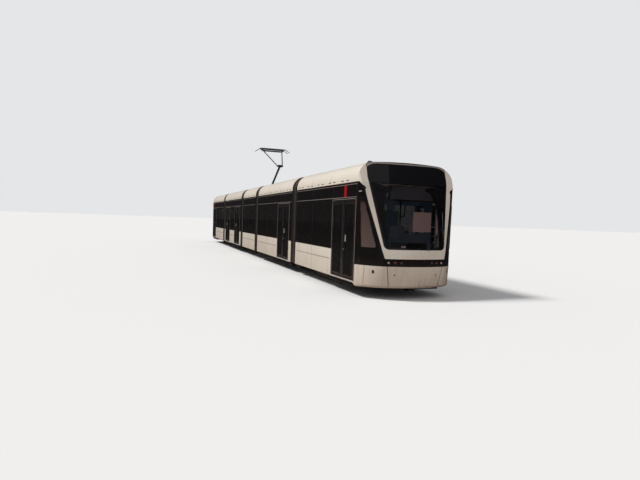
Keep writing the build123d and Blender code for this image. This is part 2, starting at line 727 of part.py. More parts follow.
def arch(inset):
    """Filled cross-section of the body, drawn inwards by the inset, down to the sill."""
    half = HALF_WIDTH - inset
    radius = FAIRING_R - inset
    foot = ROOF_Z - FAIRING_R
    shoulder = HALF_WIDTH - FAIRING_R
    with BuildSketch() as outline:
        with BuildLine():
            Polyline((0, SILL_Z), (half, SILL_Z), (half, foot))
            RadiusArc((half, foot), (shoulder, foot + radius), -radius)
            Line((shoulder, foot + radius), (-shoulder, foot + radius))
            RadiusArc((-shoulder, foot + radius), (-half, foot), -radius)
            Polyline((-half, foot), (-half, SILL_Z), (0, SILL_Z))
        make_face()
    return outline.sketch_local


def bogie(x):
    """Bogie frame: two dropped side frames outside the wheels, cross beams and track brakes."""
    low = WHEELBASE / 2 + BEARING_R
    with BuildPart() as frame:
        for side in (1, -1):
            with BuildSketch(side_plane(side, FRAME_Y + FRAME_THICK / 2, FRAME_THICK)):
                with BuildLine():
                    Polyline((x - low, AXLE_Z - 60), (x - low, AXLE_Z + 100),
                             (x - 640, AXLE_Z + 100), (x - 480, AXLE_Z - 20),
                             (x + 480, AXLE_Z - 20), (x + 640, AXLE_Z + 100),
                             (x + low, AXLE_Z + 100), (x + low, AXLE_Z - 60),
                             (x + 700, AXLE_Z - 100), (x + 520, AXLE_Z - 180),
                             (x - 520, AXLE_Z - 180), (x - 700, AXLE_Z - 100), close=True)
                make_face()
                with Locations((x - WHEELBASE / 2, AXLE_Z), (x + WHEELBASE / 2, AXLE_Z)):
                    Circle(AXLE_R + PIN_GAP, mode=Mode.SUBTRACT)
            extrude(amount=FRAME_THICK)
            for end in (-1, 1):
                hub_x = x + end * WHEELBASE / 2
                hub_y = side * (FRAME_Y + FRAME_THICK / 2)
                tube((hub_x, hub_y, AXLE_Z), (hub_x, hub_y + side * HUB_DEPTH, AXLE_Z), BEARING_R)
                beam = sorted((x + end * BEAM_X - 80, x + end * BEAM_X + 80))
                block(beam, sorted((0, side * (FRAME_Y - FRAME_THICK / 2))),
                      (AXLE_Z - 150, AXLE_Z + 20))
                tube((x + end * BEAM_X, side * SPRING_Y, AXLE_Z + 20),
                     (x + end * BEAM_X, side * SPRING_Y, BOX_TOP_Z - BOX_WALL - SEAT_GAP), SPRING_R)
                block(sorted((x + end * (BEAM_X - 30), x + end * (BEAM_X + 30))),
                      sorted((side * (TRACK_HALF - 30), side * (TRACK_HALF + 30))),
                      (RAIL + 90, AXLE_Z - 140))
            block((x - BRAKE_HALF, x + BRAKE_HALF),
                  sorted((side * (TRACK_HALF - 45), side * (TRACK_HALF + 45))), (RAIL + 15, RAIL + 95))
        block((x - BEAM_X, x + BEAM_X), (-280, 280), (SWIVEL_LOW_Z - 20, AXLE_Z + 20))
        tube((x, 0, SWIVEL_LOW_Z - 30), (x, 0, AXLE_Z + 30), SWIVEL_R + PIN_GAP, Mode.SUBTRACT)
    return frame.part


def wheelset(x):
    """Two flanged wheels on their axle, turned about the axle line."""
    back = TRACK_HALF - FLANGE_WIDTH
    face = TRACK_HALF + TREAD_WIDTH
    with BuildPart() as pair:
        with BuildSketch(Plane.XY.offset(AXLE_Z)):
            with BuildLine():
                Polyline((x, 0), (x + AXLE_R, 0), (x + AXLE_R, back - 20), (x + 100, back - 20),
                         (x + 100, back + 30), (x + WHEEL_R - 70, back + 20),
                         (x + WHEEL_R - 50, back), (x + FLANGE_R, back + 6),
                         (x + FLANGE_R, back + 20), (x + WHEEL_R, TRACK_HALF + 4),
                         (x + WHEEL_R - 3, face), (x + WHEEL_R - 55, face),
                         (x + WHEEL_R - 75, face - 40), (x + 100, face - 50), (x + 100, face),
                         (x + AXLE_R, face), (x + AXLE_R, JOURNAL_Y), (x, JOURNAL_Y), close=True)
            make_face()
        revolve(axis=Axis((x, 0, AXLE_Z), (0, 1, 0)))
        mirror(about=Plane.XZ)
    return pair.part


def panto_points():
    """Foot, knee and head pivots of the pantograph at rest."""
    reach = Vector(PANTO_ARM, 0, 0).rotate(Axis.Y, -PANTO_ANGLE)
    foot = Vector(PANTO_X, 0, PANTO_FOOT_Z)
    knee = foot + reach
    head = Vector(PANTO_X, 0, PANTO_FOOT_Z + 2 * reach.Z)
    return foot, knee, head


def pantograph_base():
    """Frame on four insulators with the bearing cheeks of the lower arm."""
    foot = panto_points()[0]
    rail_z = PANTO_FOOT_Z - 110
    with BuildPart() as base:
        for x in (PANTO_X - 250, PANTO_X + 950):
            for y in (-430, 430):
                for k in range(4):
                    low = DECK_Z + k * 45
                    tube((x, y, low), (x, y, low + 22), 62)
                    tube((x, y, low + 22), (x, y, low + 45), 42)
            block((x - 30, x + 30), (-460, 460), (rail_z - 30, rail_z + 30))
        for y in (-250, 250):
            block((PANTO_X - 250, PANTO_X + 950), (y - 25, y + 25), (rail_z - 30, rail_z + 30))
            with BuildSketch(Plane.XZ.offset(-y - 15)):
                with BuildLine():
                    Polyline((PANTO_X - 90, rail_z + 20), (PANTO_X + 90, rail_z + 20),
                             (PANTO_X + 35, foot.Z + 40), (PANTO_X - 35, foot.Z + 40), close=True)
                make_face()
                with Locations((PANTO_X, foot.Z)):
                    Circle(PANTO_PIN + PIN_GAP, mode=Mode.SUBTRACT)
            extrude(amount=30)
    return base.part


def pantograph_lower():
    """Lower arm: cross shaft, stout tube and the knee hub."""
    foot, knee, head = panto_points()
    with BuildPart() as arm:
        tube((foot.X, -300, foot.Z), (foot.X, 300, foot.Z), PANTO_PIN)
        tube((foot.X, -200, foot.Z), (foot.X, 200, foot.Z), 45)
        tube(foot, knee, 48)
        tube((knee.X, -80, knee.Z), (knee.X, 80, knee.Z), 62)
        tube((knee.X, -81, knee.Z), (knee.X, 81, knee.Z), PANTO_PIN + PIN_GAP, Mode.SUBTRACT)
    return arm.part


def pantograph_upper():
    """Upper arm: knee shaft and two tubes that spread towards the head."""
    foot, knee, head = panto_points()
    along = (head - knee).normalized()
    with BuildPart() as arm:
        tube((knee.X, -150, knee.Z), (knee.X, 150, knee.Z), PANTO_PIN)
        for y in (-118, 118):
            tube((knee.X, y - 30, knee.Z), (knee.X, y + 30, knee.Z), 38)
        near = head - along * 60
        for side in (1, -1):
            tube((knee.X, side * 118, knee.Z), (near.X, side * HEAD_HALF, near.Z), 24)
        tube((near.X, -HEAD_HALF - 14, near.Z), (near.X, HEAD_HALF + 14, near.Z), 26)
        for y in (-HEAD_HALF, HEAD_HALF):
            with BuildSketch(Plane((near.X, y - 10, near.Z), x_dir=along, z_dir=(0, 1, 0))):
                with Locations((30, 0)):
                    Rectangle(70, 52)
                with Locations((60, 0)):
                    Circle(34)
                    Circle(PANTO_PIN + PIN_GAP, mode=Mode.SUBTRACT)
            extrude(amount=20)
    return arm.part


def pantograph_head():
    """Head: two contact strips with drooping horns on a cross shaft."""
    head = panto_points()[2]
    with BuildPart() as top:
        tube((head.X, -HEAD_HALF - 52, head.Z), (head.X, HEAD_HALF + 52, head.Z), PANTO_PIN)
        for y in (-HEAD_HALF - 40, HEAD_HALF + 40):
            block((head.X - 190, head.X + 190), (y - 8, y + 8), (head.Z - 20, head.Z + 62))
        for x in (head.X - 170, head.X + 170):
            block((x - 22, x + 22), (-STRIP_HALF, STRIP_HALF), (head.Z + 60, head.Z + 95))
            for side in (1, -1):
                tube((x, side * (STRIP_HALF - 10), head.Z + 76),
                     (x, side * (STRIP_HALF + 190), head.Z - 60), 14)
    return top.part


def body_pieces(section):
    pieces = {
        "underframe": underframe(section),
        "side_walls": side_walls(section),
        "glazing": glazing(section),
        "roof": roof(section),
        "seats": seats(section),
    }
    if section.doors_right:
        pieces["doors"] = doors(section)
    if section.cab:
        pieces["cab_sides"] = cab_sides()
        pieces["cab_front"] = cab_front()
        pieces["windscreen"] = windscreen()
        pieces["lamp_band"] = lamp_band()
        pieces["headlamps"] = lamps()
        pieces["bumper"] = bumper()
        pieces["driver_cab"] = driver_cab()
    return pieces


NOSE_OUTER = nose_shape(0)
NOSE_INNER = nose_shape(CAB_WALL)
NOSE_GLASS = nose_shape(15)

for section in SECTIONS:
    for name, piece in body_pieces(section).items():
        save(piece, f"{name}_{section.number}")
        if section.number < 3:
            save(piece.rotate(Axis.Z, 180), f"{name}_{6 - section.number}")

for number, pivot in enumerate((PIVOT_OUTER, PIVOT_INNER, -PIVOT_INNER, -PIVOT_OUTER), 1):
    save(bellows(pivot), f"bellows_{number}")

for number, x in enumerate((BOGIE_X, 0.0, -BOGIE_X), 1):
    save(bogie(x), f"bogie_frame_{number}")
    save(wheelset(x + WHEELBASE / 2), f"wheelset_{2 * number - 1}")
    save(wheelset(x - WHEELBASE / 2), f"wheelset_{2 * number}")

save(pantograph_base(), "pantograph_foot")
save(pantograph_lower(), "pantograph_lower_arm")
save(pantograph_upper(), "pantograph_upper_arm")
save(pantograph_head(), "pantograph_head")
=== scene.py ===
import bpy
import bmesh
import math
from mathutils import Matrix, Vector
from mathutils.bvhtree import BVHTree


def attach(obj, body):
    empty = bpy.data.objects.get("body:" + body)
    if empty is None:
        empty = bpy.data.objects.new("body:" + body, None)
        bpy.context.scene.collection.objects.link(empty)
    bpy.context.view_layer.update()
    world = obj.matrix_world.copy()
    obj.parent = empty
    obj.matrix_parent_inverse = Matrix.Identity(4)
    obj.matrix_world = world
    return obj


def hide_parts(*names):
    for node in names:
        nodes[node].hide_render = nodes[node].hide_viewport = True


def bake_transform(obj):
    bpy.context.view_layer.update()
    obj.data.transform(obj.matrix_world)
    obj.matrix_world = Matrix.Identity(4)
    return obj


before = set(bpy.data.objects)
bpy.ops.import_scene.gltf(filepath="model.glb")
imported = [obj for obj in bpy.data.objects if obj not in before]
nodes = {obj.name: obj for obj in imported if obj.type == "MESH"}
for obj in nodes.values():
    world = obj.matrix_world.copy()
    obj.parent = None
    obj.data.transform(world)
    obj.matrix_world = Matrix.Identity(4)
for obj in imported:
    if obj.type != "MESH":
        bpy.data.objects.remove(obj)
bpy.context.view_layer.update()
print("frame loaded:", len(nodes), "nodes")

# heights over the flange tips, in metres, as in the solids
rail = 0.028
sillZ, highFloorZ, grooveZ, waistZ = rail + 0.322, rail + 0.43, rail + 0.77, rail + 1.042
portalTopZ, ceilingZ, cantZ = rail + 2.33, rail + 2.47, rail + 2.747
deckZ, roofZ, deskZ = rail + 3.08, rail + 3.265, rail + 1.11
halfWidth, portalHalf = 1.325, 0.765
fairingR, fairingFoot, deckEdge = 0.45, roofZ - 0.45, halfWidth - 0.45
axleZ, axleHalf = 0.328, 0.9
both = (-1, 1)

# the three sections that are drawn; the other two are the same pieces turned half round
sections = {
    "section_1": {"span": (7.85, 12.74), "doors": {-1: [11.975], 1: [11.975]}},
    "section_2": {"span": (2.005, 7.29), "doors": {-1: [6.215], 1: [3.165, 6.215]}},
    "centre_section": {"span": (-1.445, 1.445), "doors": {-1: [], 1: []}},
}
twins = {"section_1": "section_5", "section_2": "section_4"}
halfTurn = Matrix.Rotation(math.pi, 4, "Z")
leastBay = 0.01


def baysOf(body, side):  # the stretches of wall before, between and after the doorways
    low, high = sections[body]["span"]
    ends = [low]
    for centre in sections[body]["doors"][side]:
        ends += [centre - portalHalf, centre + portalHalf]
    ends.append(high)
    return [(first, last) for first, last in zip(ends[::2], ends[1::2]) if last - first > leastBay]


# node helpers: a value is a number, a colour, or the socket that it comes from
def setInput(tree, socket, value):
    if hasattr(value, "is_linked"):
        tree.links.new(value, socket)
    elif socket.type == "RGBA" and len(value) == 3:
        socket.default_value = (*value, 1.0)
    else:
        socket.default_value = value


def addNode(tree, kind, values=(), **options):
    node = tree.nodes.new(kind)
    for option, value in options.items():
        setattr(node, option, value)
    for label, value in dict(values).items():
        setInput(tree, node.inputs[label], value)
    return node


def newGroup(kind, name, inputs, outputs):
    tree = bpy.data.node_groups.new(name, kind + "NodeTree")
    for label, socketKind, value in inputs:
        socket = tree.interface.new_socket(label, in_out="INPUT", socket_type="NodeSocket" + socketKind)
        if value is not None:
            socket.default_value = value
    for label, socketKind in outputs:
        tree.interface.new_socket(label, in_out="OUTPUT", socket_type="NodeSocket" + socketKind)
    return tree, tree.nodes.new("NodeGroupInput").outputs, tree.nodes.new("NodeGroupOutput").inputs


def newMaterial(name):
    material = bpy.data.materials.new(name)
    material.use_nodes = True
    tree = material.node_tree
    return material, tree, tree.nodes["Principled BSDF"].inputs


def mathNode(tree, operation, *values, clamp=False):
    return addNode(tree, "ShaderNodeMath", enumerate(values), operation=operation, use_clamp=clamp).outputs[0]


def times(tree, first, second):
    return mathNode(tree, "MULTIPLY", first, second)


def apart(tree, value):  # the distance from the middle, to either side
    return mathNode(tree, "ABSOLUTE", value)


def radiusOf(tree, across, rise):
    squares = mathNode(tree, "ADD", times(tree, across, across), times(tree, rise, rise))
    return mathNode(tree, "SQRT", squares)


def mixColour(tree, factor, first, second):
    return addNode(tree, "ShaderNodeMix", {0: factor, 6: first, 7: second}, data_type="RGBA").outputs[2]


def noiseNode(tree, vector, scale, detail=4.0, rough=0.55):
    values = {"Vector": vector, "Scale": scale, "Detail": detail, "Roughness": rough}
    return addNode(tree, "ShaderNodeTexNoise", values).outputs["Fac"]


def rangeNode(tree, value, low, high, toLow=0.0, toHigh=1.0):
    values = {"Value": value, "From Min": low, "From Max": high, "To Min": toLow, "To Max": toHigh}
    return addNode(tree, "ShaderNodeMapRange", values).outputs[0]


def above(tree, value, limit, soft=0.001):
    return rangeNode(tree, value, limit - soft, limit + soft)


def below(tree, value, low, high):
    return rangeNode(tree, value, low, high, 1.0, 0.0)


def objectPoint(tree, scale=(1, 1, 1)):
    coord = addNode(tree, "ShaderNodeTexCoord")
    return addNode(tree, "ShaderNodeMapping", {"Vector": coord.outputs["Object"], "Scale": scale}).outputs[0]


def axisValues(tree):
    coord = addNode(tree, "ShaderNodeTexCoord")
    return addNode(tree, "ShaderNodeSeparateXYZ", {0: coord.outputs["Object"]}).outputs


# shader groups: each puts out colours, masks and heights that change over the surface
dustSpec = {"blotch": (2.3, 7.0, 0.62), "streak": (3.1, 5.0), "streakScale": (5.0, 5.0, 0.35), "even": 0.25,
            "film": (0.27, 0.5), "filmShare": 0.22, "roughening": 0.35}


def buildRoadDust():
    tree, entry, leave = newGroup(
        "Shader", "roadDust",
        [("Color", "Color", (0.5, 0.5, 0.5, 1)), ("Dust", "Color", (0.3, 0.25, 0.2, 1)),
         ("Low", "Float", 0.2), ("High", "Float", 1.2), ("Amount", "Float", 0.5)],
        [("Color", "Color"), ("Mask", "Float")])
    fade = rangeNode(tree, axisValues(tree)[2], entry["High"], entry["Low"])
    blotch = noiseNode(tree, objectPoint(tree), *dustSpec["blotch"])
    streak = noiseNode(tree, objectPoint(tree, dustSpec["streakScale"]), *dustSpec["streak"])
    veil = times(tree, blotch, streak)
    ground = times(tree, fade, mathNode(tree, "ADD", veil, dustSpec["even"]))
    film = times(tree, rangeNode(tree, veil, *dustSpec["film"]), dustSpec["filmShare"])
    mask = mathNode(tree, "MULTIPLY", mathNode(tree, "ADD", ground, film), entry["Amount"], clamp=True)
    tree.links.new(mixColour(tree, mask, entry["Color"], entry["Dust"]), leave["Color"])
    tree.links.new(mask, leave["Mask"])
    return tree


grainSpec = {"noise": (2.0, 0.5), "spread": (0.3, 0.7, -0.5, 0.5)}


def buildFineGrain():
    tree, entry, leave = newGroup(
        "Shader", "fineGrain", [("Scale", "Float", 60.0), ("Broad", "Float", 1.5), ("Mix", "Float", 0.5)],
        [("Height", "Float"), ("Rough", "Float")])
    fine, broad = (noiseNode(tree, objectPoint(tree), entry[label], *grainSpec["noise"])
                   for label in ("Scale", "Broad"))
    height = addNode(tree, "ShaderNodeMix", {0: entry["Mix"], 2: fine, 3: broad})
    tree.links.new(height.outputs[0], leave["Height"])
    tree.links.new(rangeNode(tree, broad, *grainSpec["spread"]), leave["Rough"])
    return tree


roadDust, fineGrain = buildRoadDust(), buildFineGrain()

# what a finish has where its own settings say nothing
plain = {"metallic": 0.0, "coat": 0.0, "coatRough": 0.06, "specular": 0.4, "glow": (0, 0, 0),
         "dust": (0.30, 0.255, 0.20), "dustLow": 0.2, "dustHigh": 1.3, "dustAmount": 0.5, "roughSpread": 0.12,
         "grain": 60.0, "broad": 1.5, "broadShare": 0.3, "bump": 0.1, "bumpDepth": 0.002}


def groupNode(tree, group, values):
    return addNode(tree, "ShaderNodeGroup", values, node_tree=group)


def bumpFrom(tree, height, strength, depth):
    values = {"Strength": strength, "Distance": depth, "Height": height}
    return addNode(tree, "ShaderNodeBump", values).outputs["Normal"]


def finishMaterial(name, colour, changes):
    settings = {**plain, **changes}
    material, tree, shader = newMaterial(name)
    for label, key in (("Metallic", "metallic"), ("Coat Weight", "coat"), ("Coat Roughness", "coatRough"),
                       ("Specular IOR Level", "specular"), ("Emission Color", "glow")):
        setInput(tree, shader[label], settings[key])
    shader["Emission Strength"].default_value = 1.0 if "glow" in changes else 0.0
    dust = groupNode(tree, roadDust, {
        "Color": colour(tree) if callable(colour) else colour, "Dust": settings["dust"],
        "Low": settings["dustLow"], "High": settings["dustHigh"], "Amount": settings["dustAmount"]})
    grain = groupNode(tree, fineGrain, {
        "Scale": settings["grain"], "Broad": settings["broad"], "Mix": settings["broadShare"]})
    rough = mathNode(tree, "MULTIPLY_ADD", grain.outputs["Rough"], settings["roughSpread"], settings["rough"])
    dusty = mathNode(tree, "MULTIPLY_ADD", dust.outputs["Mask"], dustSpec["roughening"], rough, clamp=True)
    tree.links.new(dust.outputs["Color"], shader["Base Color"])
    tree.links.new(dusty, shader["Roughness"])
    bump = bumpFrom(tree, grain.outputs["Height"], settings["bump"], settings["bumpDepth"])
    tree.links.new(bump, shader["Normal"])
    return material


# body paint: warm white below the waist line, black behind the glass, pale trim inside; the underside is
# painted near black as shade under the car
paint = {"white": (0.77, 0.705, 0.61), "shade": (0.71, 0.645, 0.55), "black": (0.012, 0.011, 0.012),
         "trim": (0.42, 0.42, 0.41), "roofGrey": (0.30, 0.30, 0.29), "under": (0.017, 0.015, 0.014),
         "insideY": 1.2565, "deckHalf": (0.817, 0.819), "deckLow": 3.0, "deckEnd": (12.498, 12.502),
         "revealLow": 2.7655, "revealHigh": (2.7945, 2.7955), "revealHalf": (1.3, 1.301), "underShadeZ": 0.36}


def speckTone(first, second, noise, spread, scale=(1, 1, 1)):
    def tone(tree):
        speck = noiseNode(tree, objectPoint(tree, scale), *noise)
        return mixColour(tree, rangeNode(tree, speck, *spread), first, second)
    return tone


whiteTone = speckTone(paint["white"], paint["shade"], (1.1, 3.0), (0.35, 0.65), (0.35, 1.0, 0.8))
floorFlecks = speckTone((0.09, 0.095, 0.105), (0.2, 0.2, 0.21), (90.0, 2.0), (0.5, 0.62))
rustTone = speckTone((0.075, 0.05, 0.035), (0.15, 0.085, 0.05), (14.0, 6.0), (0.4, 0.65))


def wallTone(tree):
    axes = axisValues(tree)
    outside = mixColour(tree, above(tree, axes[2], waistZ + 0.001), whiteTone(tree), paint["black"])
    shell = above(tree, apart(tree, axes[1]), paint["insideY"], 0.0005)
    return mixColour(tree, shell, paint["trim"], outside)


def roofTone(tree):
    axes = axisValues(tree)
    depth = apart(tree, axes[1])
    deck = times(tree, below(tree, depth, *paint["deckHalf"]), above(tree, axes[2], paint["deckLow"]))
    deck = times(tree, deck, below(tree, apart(tree, axes[0]), *paint["deckEnd"]))
    reveal = times(tree, above(tree, axes[2], paint["revealLow"]), below(tree, axes[2], *paint["revealHigh"]))
    reveal = times(tree, reveal, below(tree, depth, *paint["revealHalf"]))
    return mixColour(tree, reveal, mixColour(tree, deck, whiteTone(tree), paint["roofGrey"]), paint["black"])


# below the floor the underside is near black: partly the frame's own dark colour and partly painted shade
# under the car
def floorAndUnderShadeTone(tree):
    inside = above(tree, axisValues(tree)[2], paint["underShadeZ"])
    return mixColour(tree, inside, paint["under"], floorFlecks(tree))


# the warm brown dust low on the cab front and bumper is partly road dust and partly painted shade with warm
# bounce light from the ground
white = finishMaterial("whitePaint", whiteTone, {
    "rough": 0.32, "coat": 0.5, "bump": 0.05, "dust": (0.36, 0.24, 0.17), "dustLow": 0.28, "dustHigh": 1.15,
    "dustAmount": 0.9})
# the warm dust low on the side panels is partly road dust and partly painted warm bounce light from the
# ground
wallPaint = finishMaterial("wallPaint", wallTone, {
    "rough": 0.34, "coat": 0.4, "bump": 0.05, "dust": (0.34, 0.25, 0.18), "dustLow": 0.28, "dustHigh": 1.15,
    "dustAmount": 0.75})
roofPaint = finishMaterial("roofPaint", roofTone, {
    "rough": 0.4, "coat": 0.3, "bump": 0.06, "dust": (0.33, 0.3, 0.25), "dustLow": 2.6, "dustHigh": 3.5,
    "dustAmount": 0.22})
blackGloss = finishMaterial("blackGloss", (0.0085, 0.007, 0.007), {
    "rough": 0.15, "coat": 0.25, "specular": 0.3, "roughSpread": 0.05, "bump": 0.03, "dustAmount": 0.22,
    "dustHigh": 1.0})
doorBlack = finishMaterial("doorBlack", (0.013, 0.0105, 0.010), {
    "rough": 0.26, "coat": 0.2, "specular": 0.3, "bump": 0.05, "dust": (0.12, 0.085, 0.06), "dustAmount": 0.5,
    "dustHigh": 1.1})
rubberBlack = finishMaterial("rubberBlack", (0.02, 0.019, 0.018), {
    "rough": 0.62, "bump": 0.25, "grain": 220.0, "dustAmount": 0.5, "dustHigh": 1.2})
frameDarkWithShade = finishMaterial("frameDarkWithShade", floorAndUnderShadeTone, {
    "rough": 0.55, "bump": 0.3, "grain": 140.0, "dust": (0.1, 0.08, 0.065), "dustAmount": 0.4, "dustLow": 0.1,
    "dustHigh": 0.6})
bogieGrey = finishMaterial("bogieGrey", (0.055, 0.05, 0.046), {
    "rough": 0.6, "bump": 0.5, "grain": 110.0, "bumpDepth": 0.004, "dust": (0.17, 0.115, 0.075),
    "dustAmount": 1.1, "dustLow": 0.0, "dustHigh": 0.7})
aluminium = finishMaterial("brushedAluminium", (0.56, 0.56, 0.55), {
    "rough": 0.36, "metallic": 0.9, "bump": 0.12, "grain": 300.0, "dustAmount": 0.35})
trimGrey = finishMaterial("trimGrey", (0.3, 0.262, 0.24), {
    "rough": 0.45, "metallic": 0.25, "bump": 0.1, "grain": 200.0, "dustAmount": 0.3})
steelGrey = finishMaterial("steelGrey", (0.27, 0.26, 0.25), {
    "rough": 0.42, "metallic": 0.7, "bump": 0.2, "grain": 180.0, "dustAmount": 0.4})
redStripe = finishMaterial("redFilm", (0.3, 0.003, 0.007), {
    "rough": 0.3, "coat": 0.3, "bump": 0.03, "dustAmount": 0.1})
# the faint teal glow of the cab furnishings is painted light, a teal reflection on the desk
cabTrim = finishMaterial("cabTrim", (0.045, 0.055, 0.062), {
    "rough": 0.7, "bump": 0.35, "grain": 260.0, "dustAmount": 0.1, "glow": (0.001, 0.005, 0.009)})
seatShell = finishMaterial("seatShell", speckTone(
    (0.055, 0.07, 0.11), (0.12, 0.14, 0.19), (150.0, 2.0), (0.45, 0.6)), {
    "rough": 0.75, "bump": 0.5, "grain": 340.0, "dustAmount": 0.05})
bellowsCloth = finishMaterial("bellowsCloth", speckTone(
    (0.045, 0.034, 0.03), (0.078, 0.058, 0.05), (5.0, 4.0), (0.35, 0.7), (1, 1, 0.25)), {
    "rough": 0.72, "bump": 0.45, "grain": 420.0, "dustAmount": 0.4, "dustHigh": 1.8})
hoopGrey = finishMaterial("hoopGrey", (0.085, 0.068, 0.06), {
    "rough": 0.55, "bump": 0.15, "dustAmount": 0.4})
mastGrey = finishMaterial("mastGrey", (0.024, 0.021, 0.02), {
    "rough": 0.45, "bump": 0.2, "dust": (0.2, 0.19, 0.17), "dustLow": 3.0, "dustHigh": 4.5,
    "dustAmount": 0.35})
carbon = finishMaterial("contactCarbon", (0.03, 0.03, 0.032), {
    "rough": 0.48, "bump": 0.3, "grain": 500.0, "dustAmount": 0.1})
caseGrey = finishMaterial("caseGrey", (0.36, 0.36, 0.345), {
    "rough": 0.5, "bump": 0.15, "dust": (0.2, 0.18, 0.15), "dustLow": 2.9, "dustHigh": 3.5,
    "dustAmount": 0.5})
panelShade = finishMaterial("panelShade", (0.16, 0.125, 0.1), {"rough": 0.7, "bump": 0.1, "dustAmount": 0.2})
slotDark = finishMaterial("slotDark", (0.01, 0.01, 0.01), {"rough": 0.8, "bump": 0.1, "dustAmount": 0.1})
lampWhite = finishMaterial("lampWhite", (0.75, 0.74, 0.72), {"rough": 0.2, "coat": 0.6, "dustAmount": 0.1})
handrail = finishMaterial("handrailSteel", (0.22, 0.21, 0.2), {
    "rough": 0.35, "metallic": 0.8, "bump": 0.1, "grain": 240.0, "dustAmount": 0.05})
sillPale = finishMaterial("sillPale", (0.8, 0.75, 0.69), {"rough": 0.5, "bump": 0.2, "dustAmount": 0.1})

# side and front glass: faint dust and a slow wave; the windscreen is clear inside its dark surround
paneSpec = {"ior": 1.5, "specular": 0.35, "smear": (0.1, 0.09), "wave": (0.7, 1.0), "waveDepth": (0.04, 0.02),
            "dust": {"Dust": (0.22, 0.2, 0.17), "Low": 0.9, "High": 1.5, "Amount": 0.06},
            "saloon": (0.007, 0.0062, 0.006), "cab": (0.13, 0.092, 0.08), "cabX": 12.85,
            "paleLowReflection": (1.24, 2.3, 1.0, 0.55),
            "clear": {"low": 1.245, "half": 0.775, "flare": 0.165, "top": 2.8, "fade": 0.03,
                      "soft": (0.012, 0.008)}}


# painted reflection: the cab's side pane is given a brown tone, lighter towards the bottom
def sideGlassTone(tree):
    axes = axisValues(tree)
    cabPane = above(tree, apart(tree, axes[0]), paneSpec["cabX"])
    paleLowReflection = times(tree, cabPane, rangeNode(tree, axes[2], *paneSpec["paleLowReflection"]))
    return mixColour(tree, paleLowReflection, paneSpec["saloon"], paneSpec["cab"])


def clearMask(tree, low, half, flare, top, fade, soft):
    axes = axisValues(tree)
    slope = mathNode(tree, "MULTIPLY_ADD", axes[2], flare, half - flare * low)
    across = mathNode(tree, "SUBTRACT", slope, apart(tree, axes[1]))
    inside = times(tree, rangeNode(tree, across, 0.0, soft[0]), above(tree, axes[2], low, soft[1]))
    return times(tree, inside, below(tree, axes[2], top - fade, top))


def glassMaterial(name, colour, alpha, rough, clear=None):
    material, tree, shader = newMaterial(name)
    shader["IOR"].default_value = paneSpec["ior"]
    shader["Specular IOR Level"].default_value = paneSpec["specular"]
    base = colour(tree) if callable(colour) else colour
    dust = groupNode(tree, roadDust, {"Color": base, **paneSpec["dust"]}).outputs
    tree.links.new(dust["Color"], shader["Base Color"])
    full, more = paneSpec["smear"]
    smear = rangeNode(tree, dust["Mask"], 0.0, full, rough, rough + more)
    tree.links.new(smear, shader["Roughness"])
    if clear:
        alpha = rangeNode(tree, clearMask(tree, **clear), 0.0, 1.0, 1.0, alpha)
    setInput(tree, shader["Alpha"], alpha)
    wave = noiseNode(tree, objectPoint(tree), *paneSpec["wave"])
    tree.links.new(bumpFrom(tree, wave, *paneSpec["waveDepth"]), shader["Normal"])
    return material


tintedGlass = glassMaterial("tintedGlass", sideGlassTone, 0.8, 0.035)
screenGlass = glassMaterial("screenGlass", (0.006, 0.0055, 0.007), 0.28, 0.03, paneSpec["clear"])

# three lamps on each side of the lamp band: dark, red and white
lampSpec = {"places": (0.41, 0.56, 0.715), "z": rail + 0.86, "radius": 0.045, "core": 0.021, "edge": 0.006,
            "rim": 0.002, "body": (0.012, 0.011, 0.012),
            "tones": ((0.1, 0.09, 0.095), (0.42, 0.05, 0.075), (0.62, 0.6, 0.57))}


def lampTone(tree):
    axes = axisValues(tree)
    aside = apart(tree, axes[1])
    rise = mathNode(tree, "SUBTRACT", axes[2], lampSpec["z"])
    tone = lampSpec["body"]
    low, high = lampSpec["core"] - lampSpec["edge"], lampSpec["core"] + lampSpec["edge"]
    for place, glow in zip(lampSpec["places"], lampSpec["tones"]):
        reach = radiusOf(tree, mathNode(tree, "SUBTRACT", aside, place), rise)
        tone = mixColour(tree, below(tree, reach, low, high), tone, glow)
    return tone


lampLens = finishMaterial("lampLens", lampTone, {
    "rough": 0.12, "coat": 0.8, "roughSpread": 0.04, "bump": 0.35, "grain": 180.0, "dustAmount": 0.1})


# pantograph foot: grey metal on glazed brown insulators
footSpec = {"glazeLow": 3.112, "glazeHigh": (3.286, 3.287), "metal": (0.07, 0.066, 0.064),
            "glaze": (0.16, 0.045, 0.025)}


def insulatorTone(tree):
    height = axisValues(tree)[2]
    ring = times(tree, above(tree, height, footSpec["glazeLow"]), below(tree, height, *footSpec["glazeHigh"]))
    return mixColour(tree, ring, footSpec["metal"], footSpec["glaze"])


mastFoot = finishMaterial("mastFoot", insulatorTone, {
    "rough": 0.35, "coat": 0.3, "bump": 0.1, "dust": (0.2, 0.19, 0.17), "dustLow": 3.0, "dustHigh": 3.6,
    "dustAmount": 0.3})

# wheels: rust on the disc, dull steel on the tyre, bright steel where it runs
wheelSpec = {"tyreR": 0.236, "runR": 0.294, "tyre": (0.2, 0.175, 0.15), "run": (0.5, 0.49, 0.48),
             "finish": {"rough": 0.42, "metallic": 0.6, "bump": 0.3, "grain": 120.0, "dustAmount": 0.25}}


def wheelMaterial(number, x):
    def tone(tree):
        axes = axisValues(tree)
        across, rise = mathNode(tree, "SUBTRACT", axes[0], x), mathNode(tree, "SUBTRACT", axes[2], axleZ)
        reach = radiusOf(tree, across, rise)
        tyre = mixColour(tree, above(tree, reach, wheelSpec["tyreR"]), rustTone(tree), wheelSpec["tyre"])
        return mixColour(tree, above(tree, reach, wheelSpec["runR"]), tyre, wheelSpec["run"])
    return finishMaterial(f"wheelSteel{number}", tone, wheelSpec["finish"])


def dress(material, *names):
    for name in names:
        slots = nodes[name].data.materials
        slots.clear()
        slots.append(material)


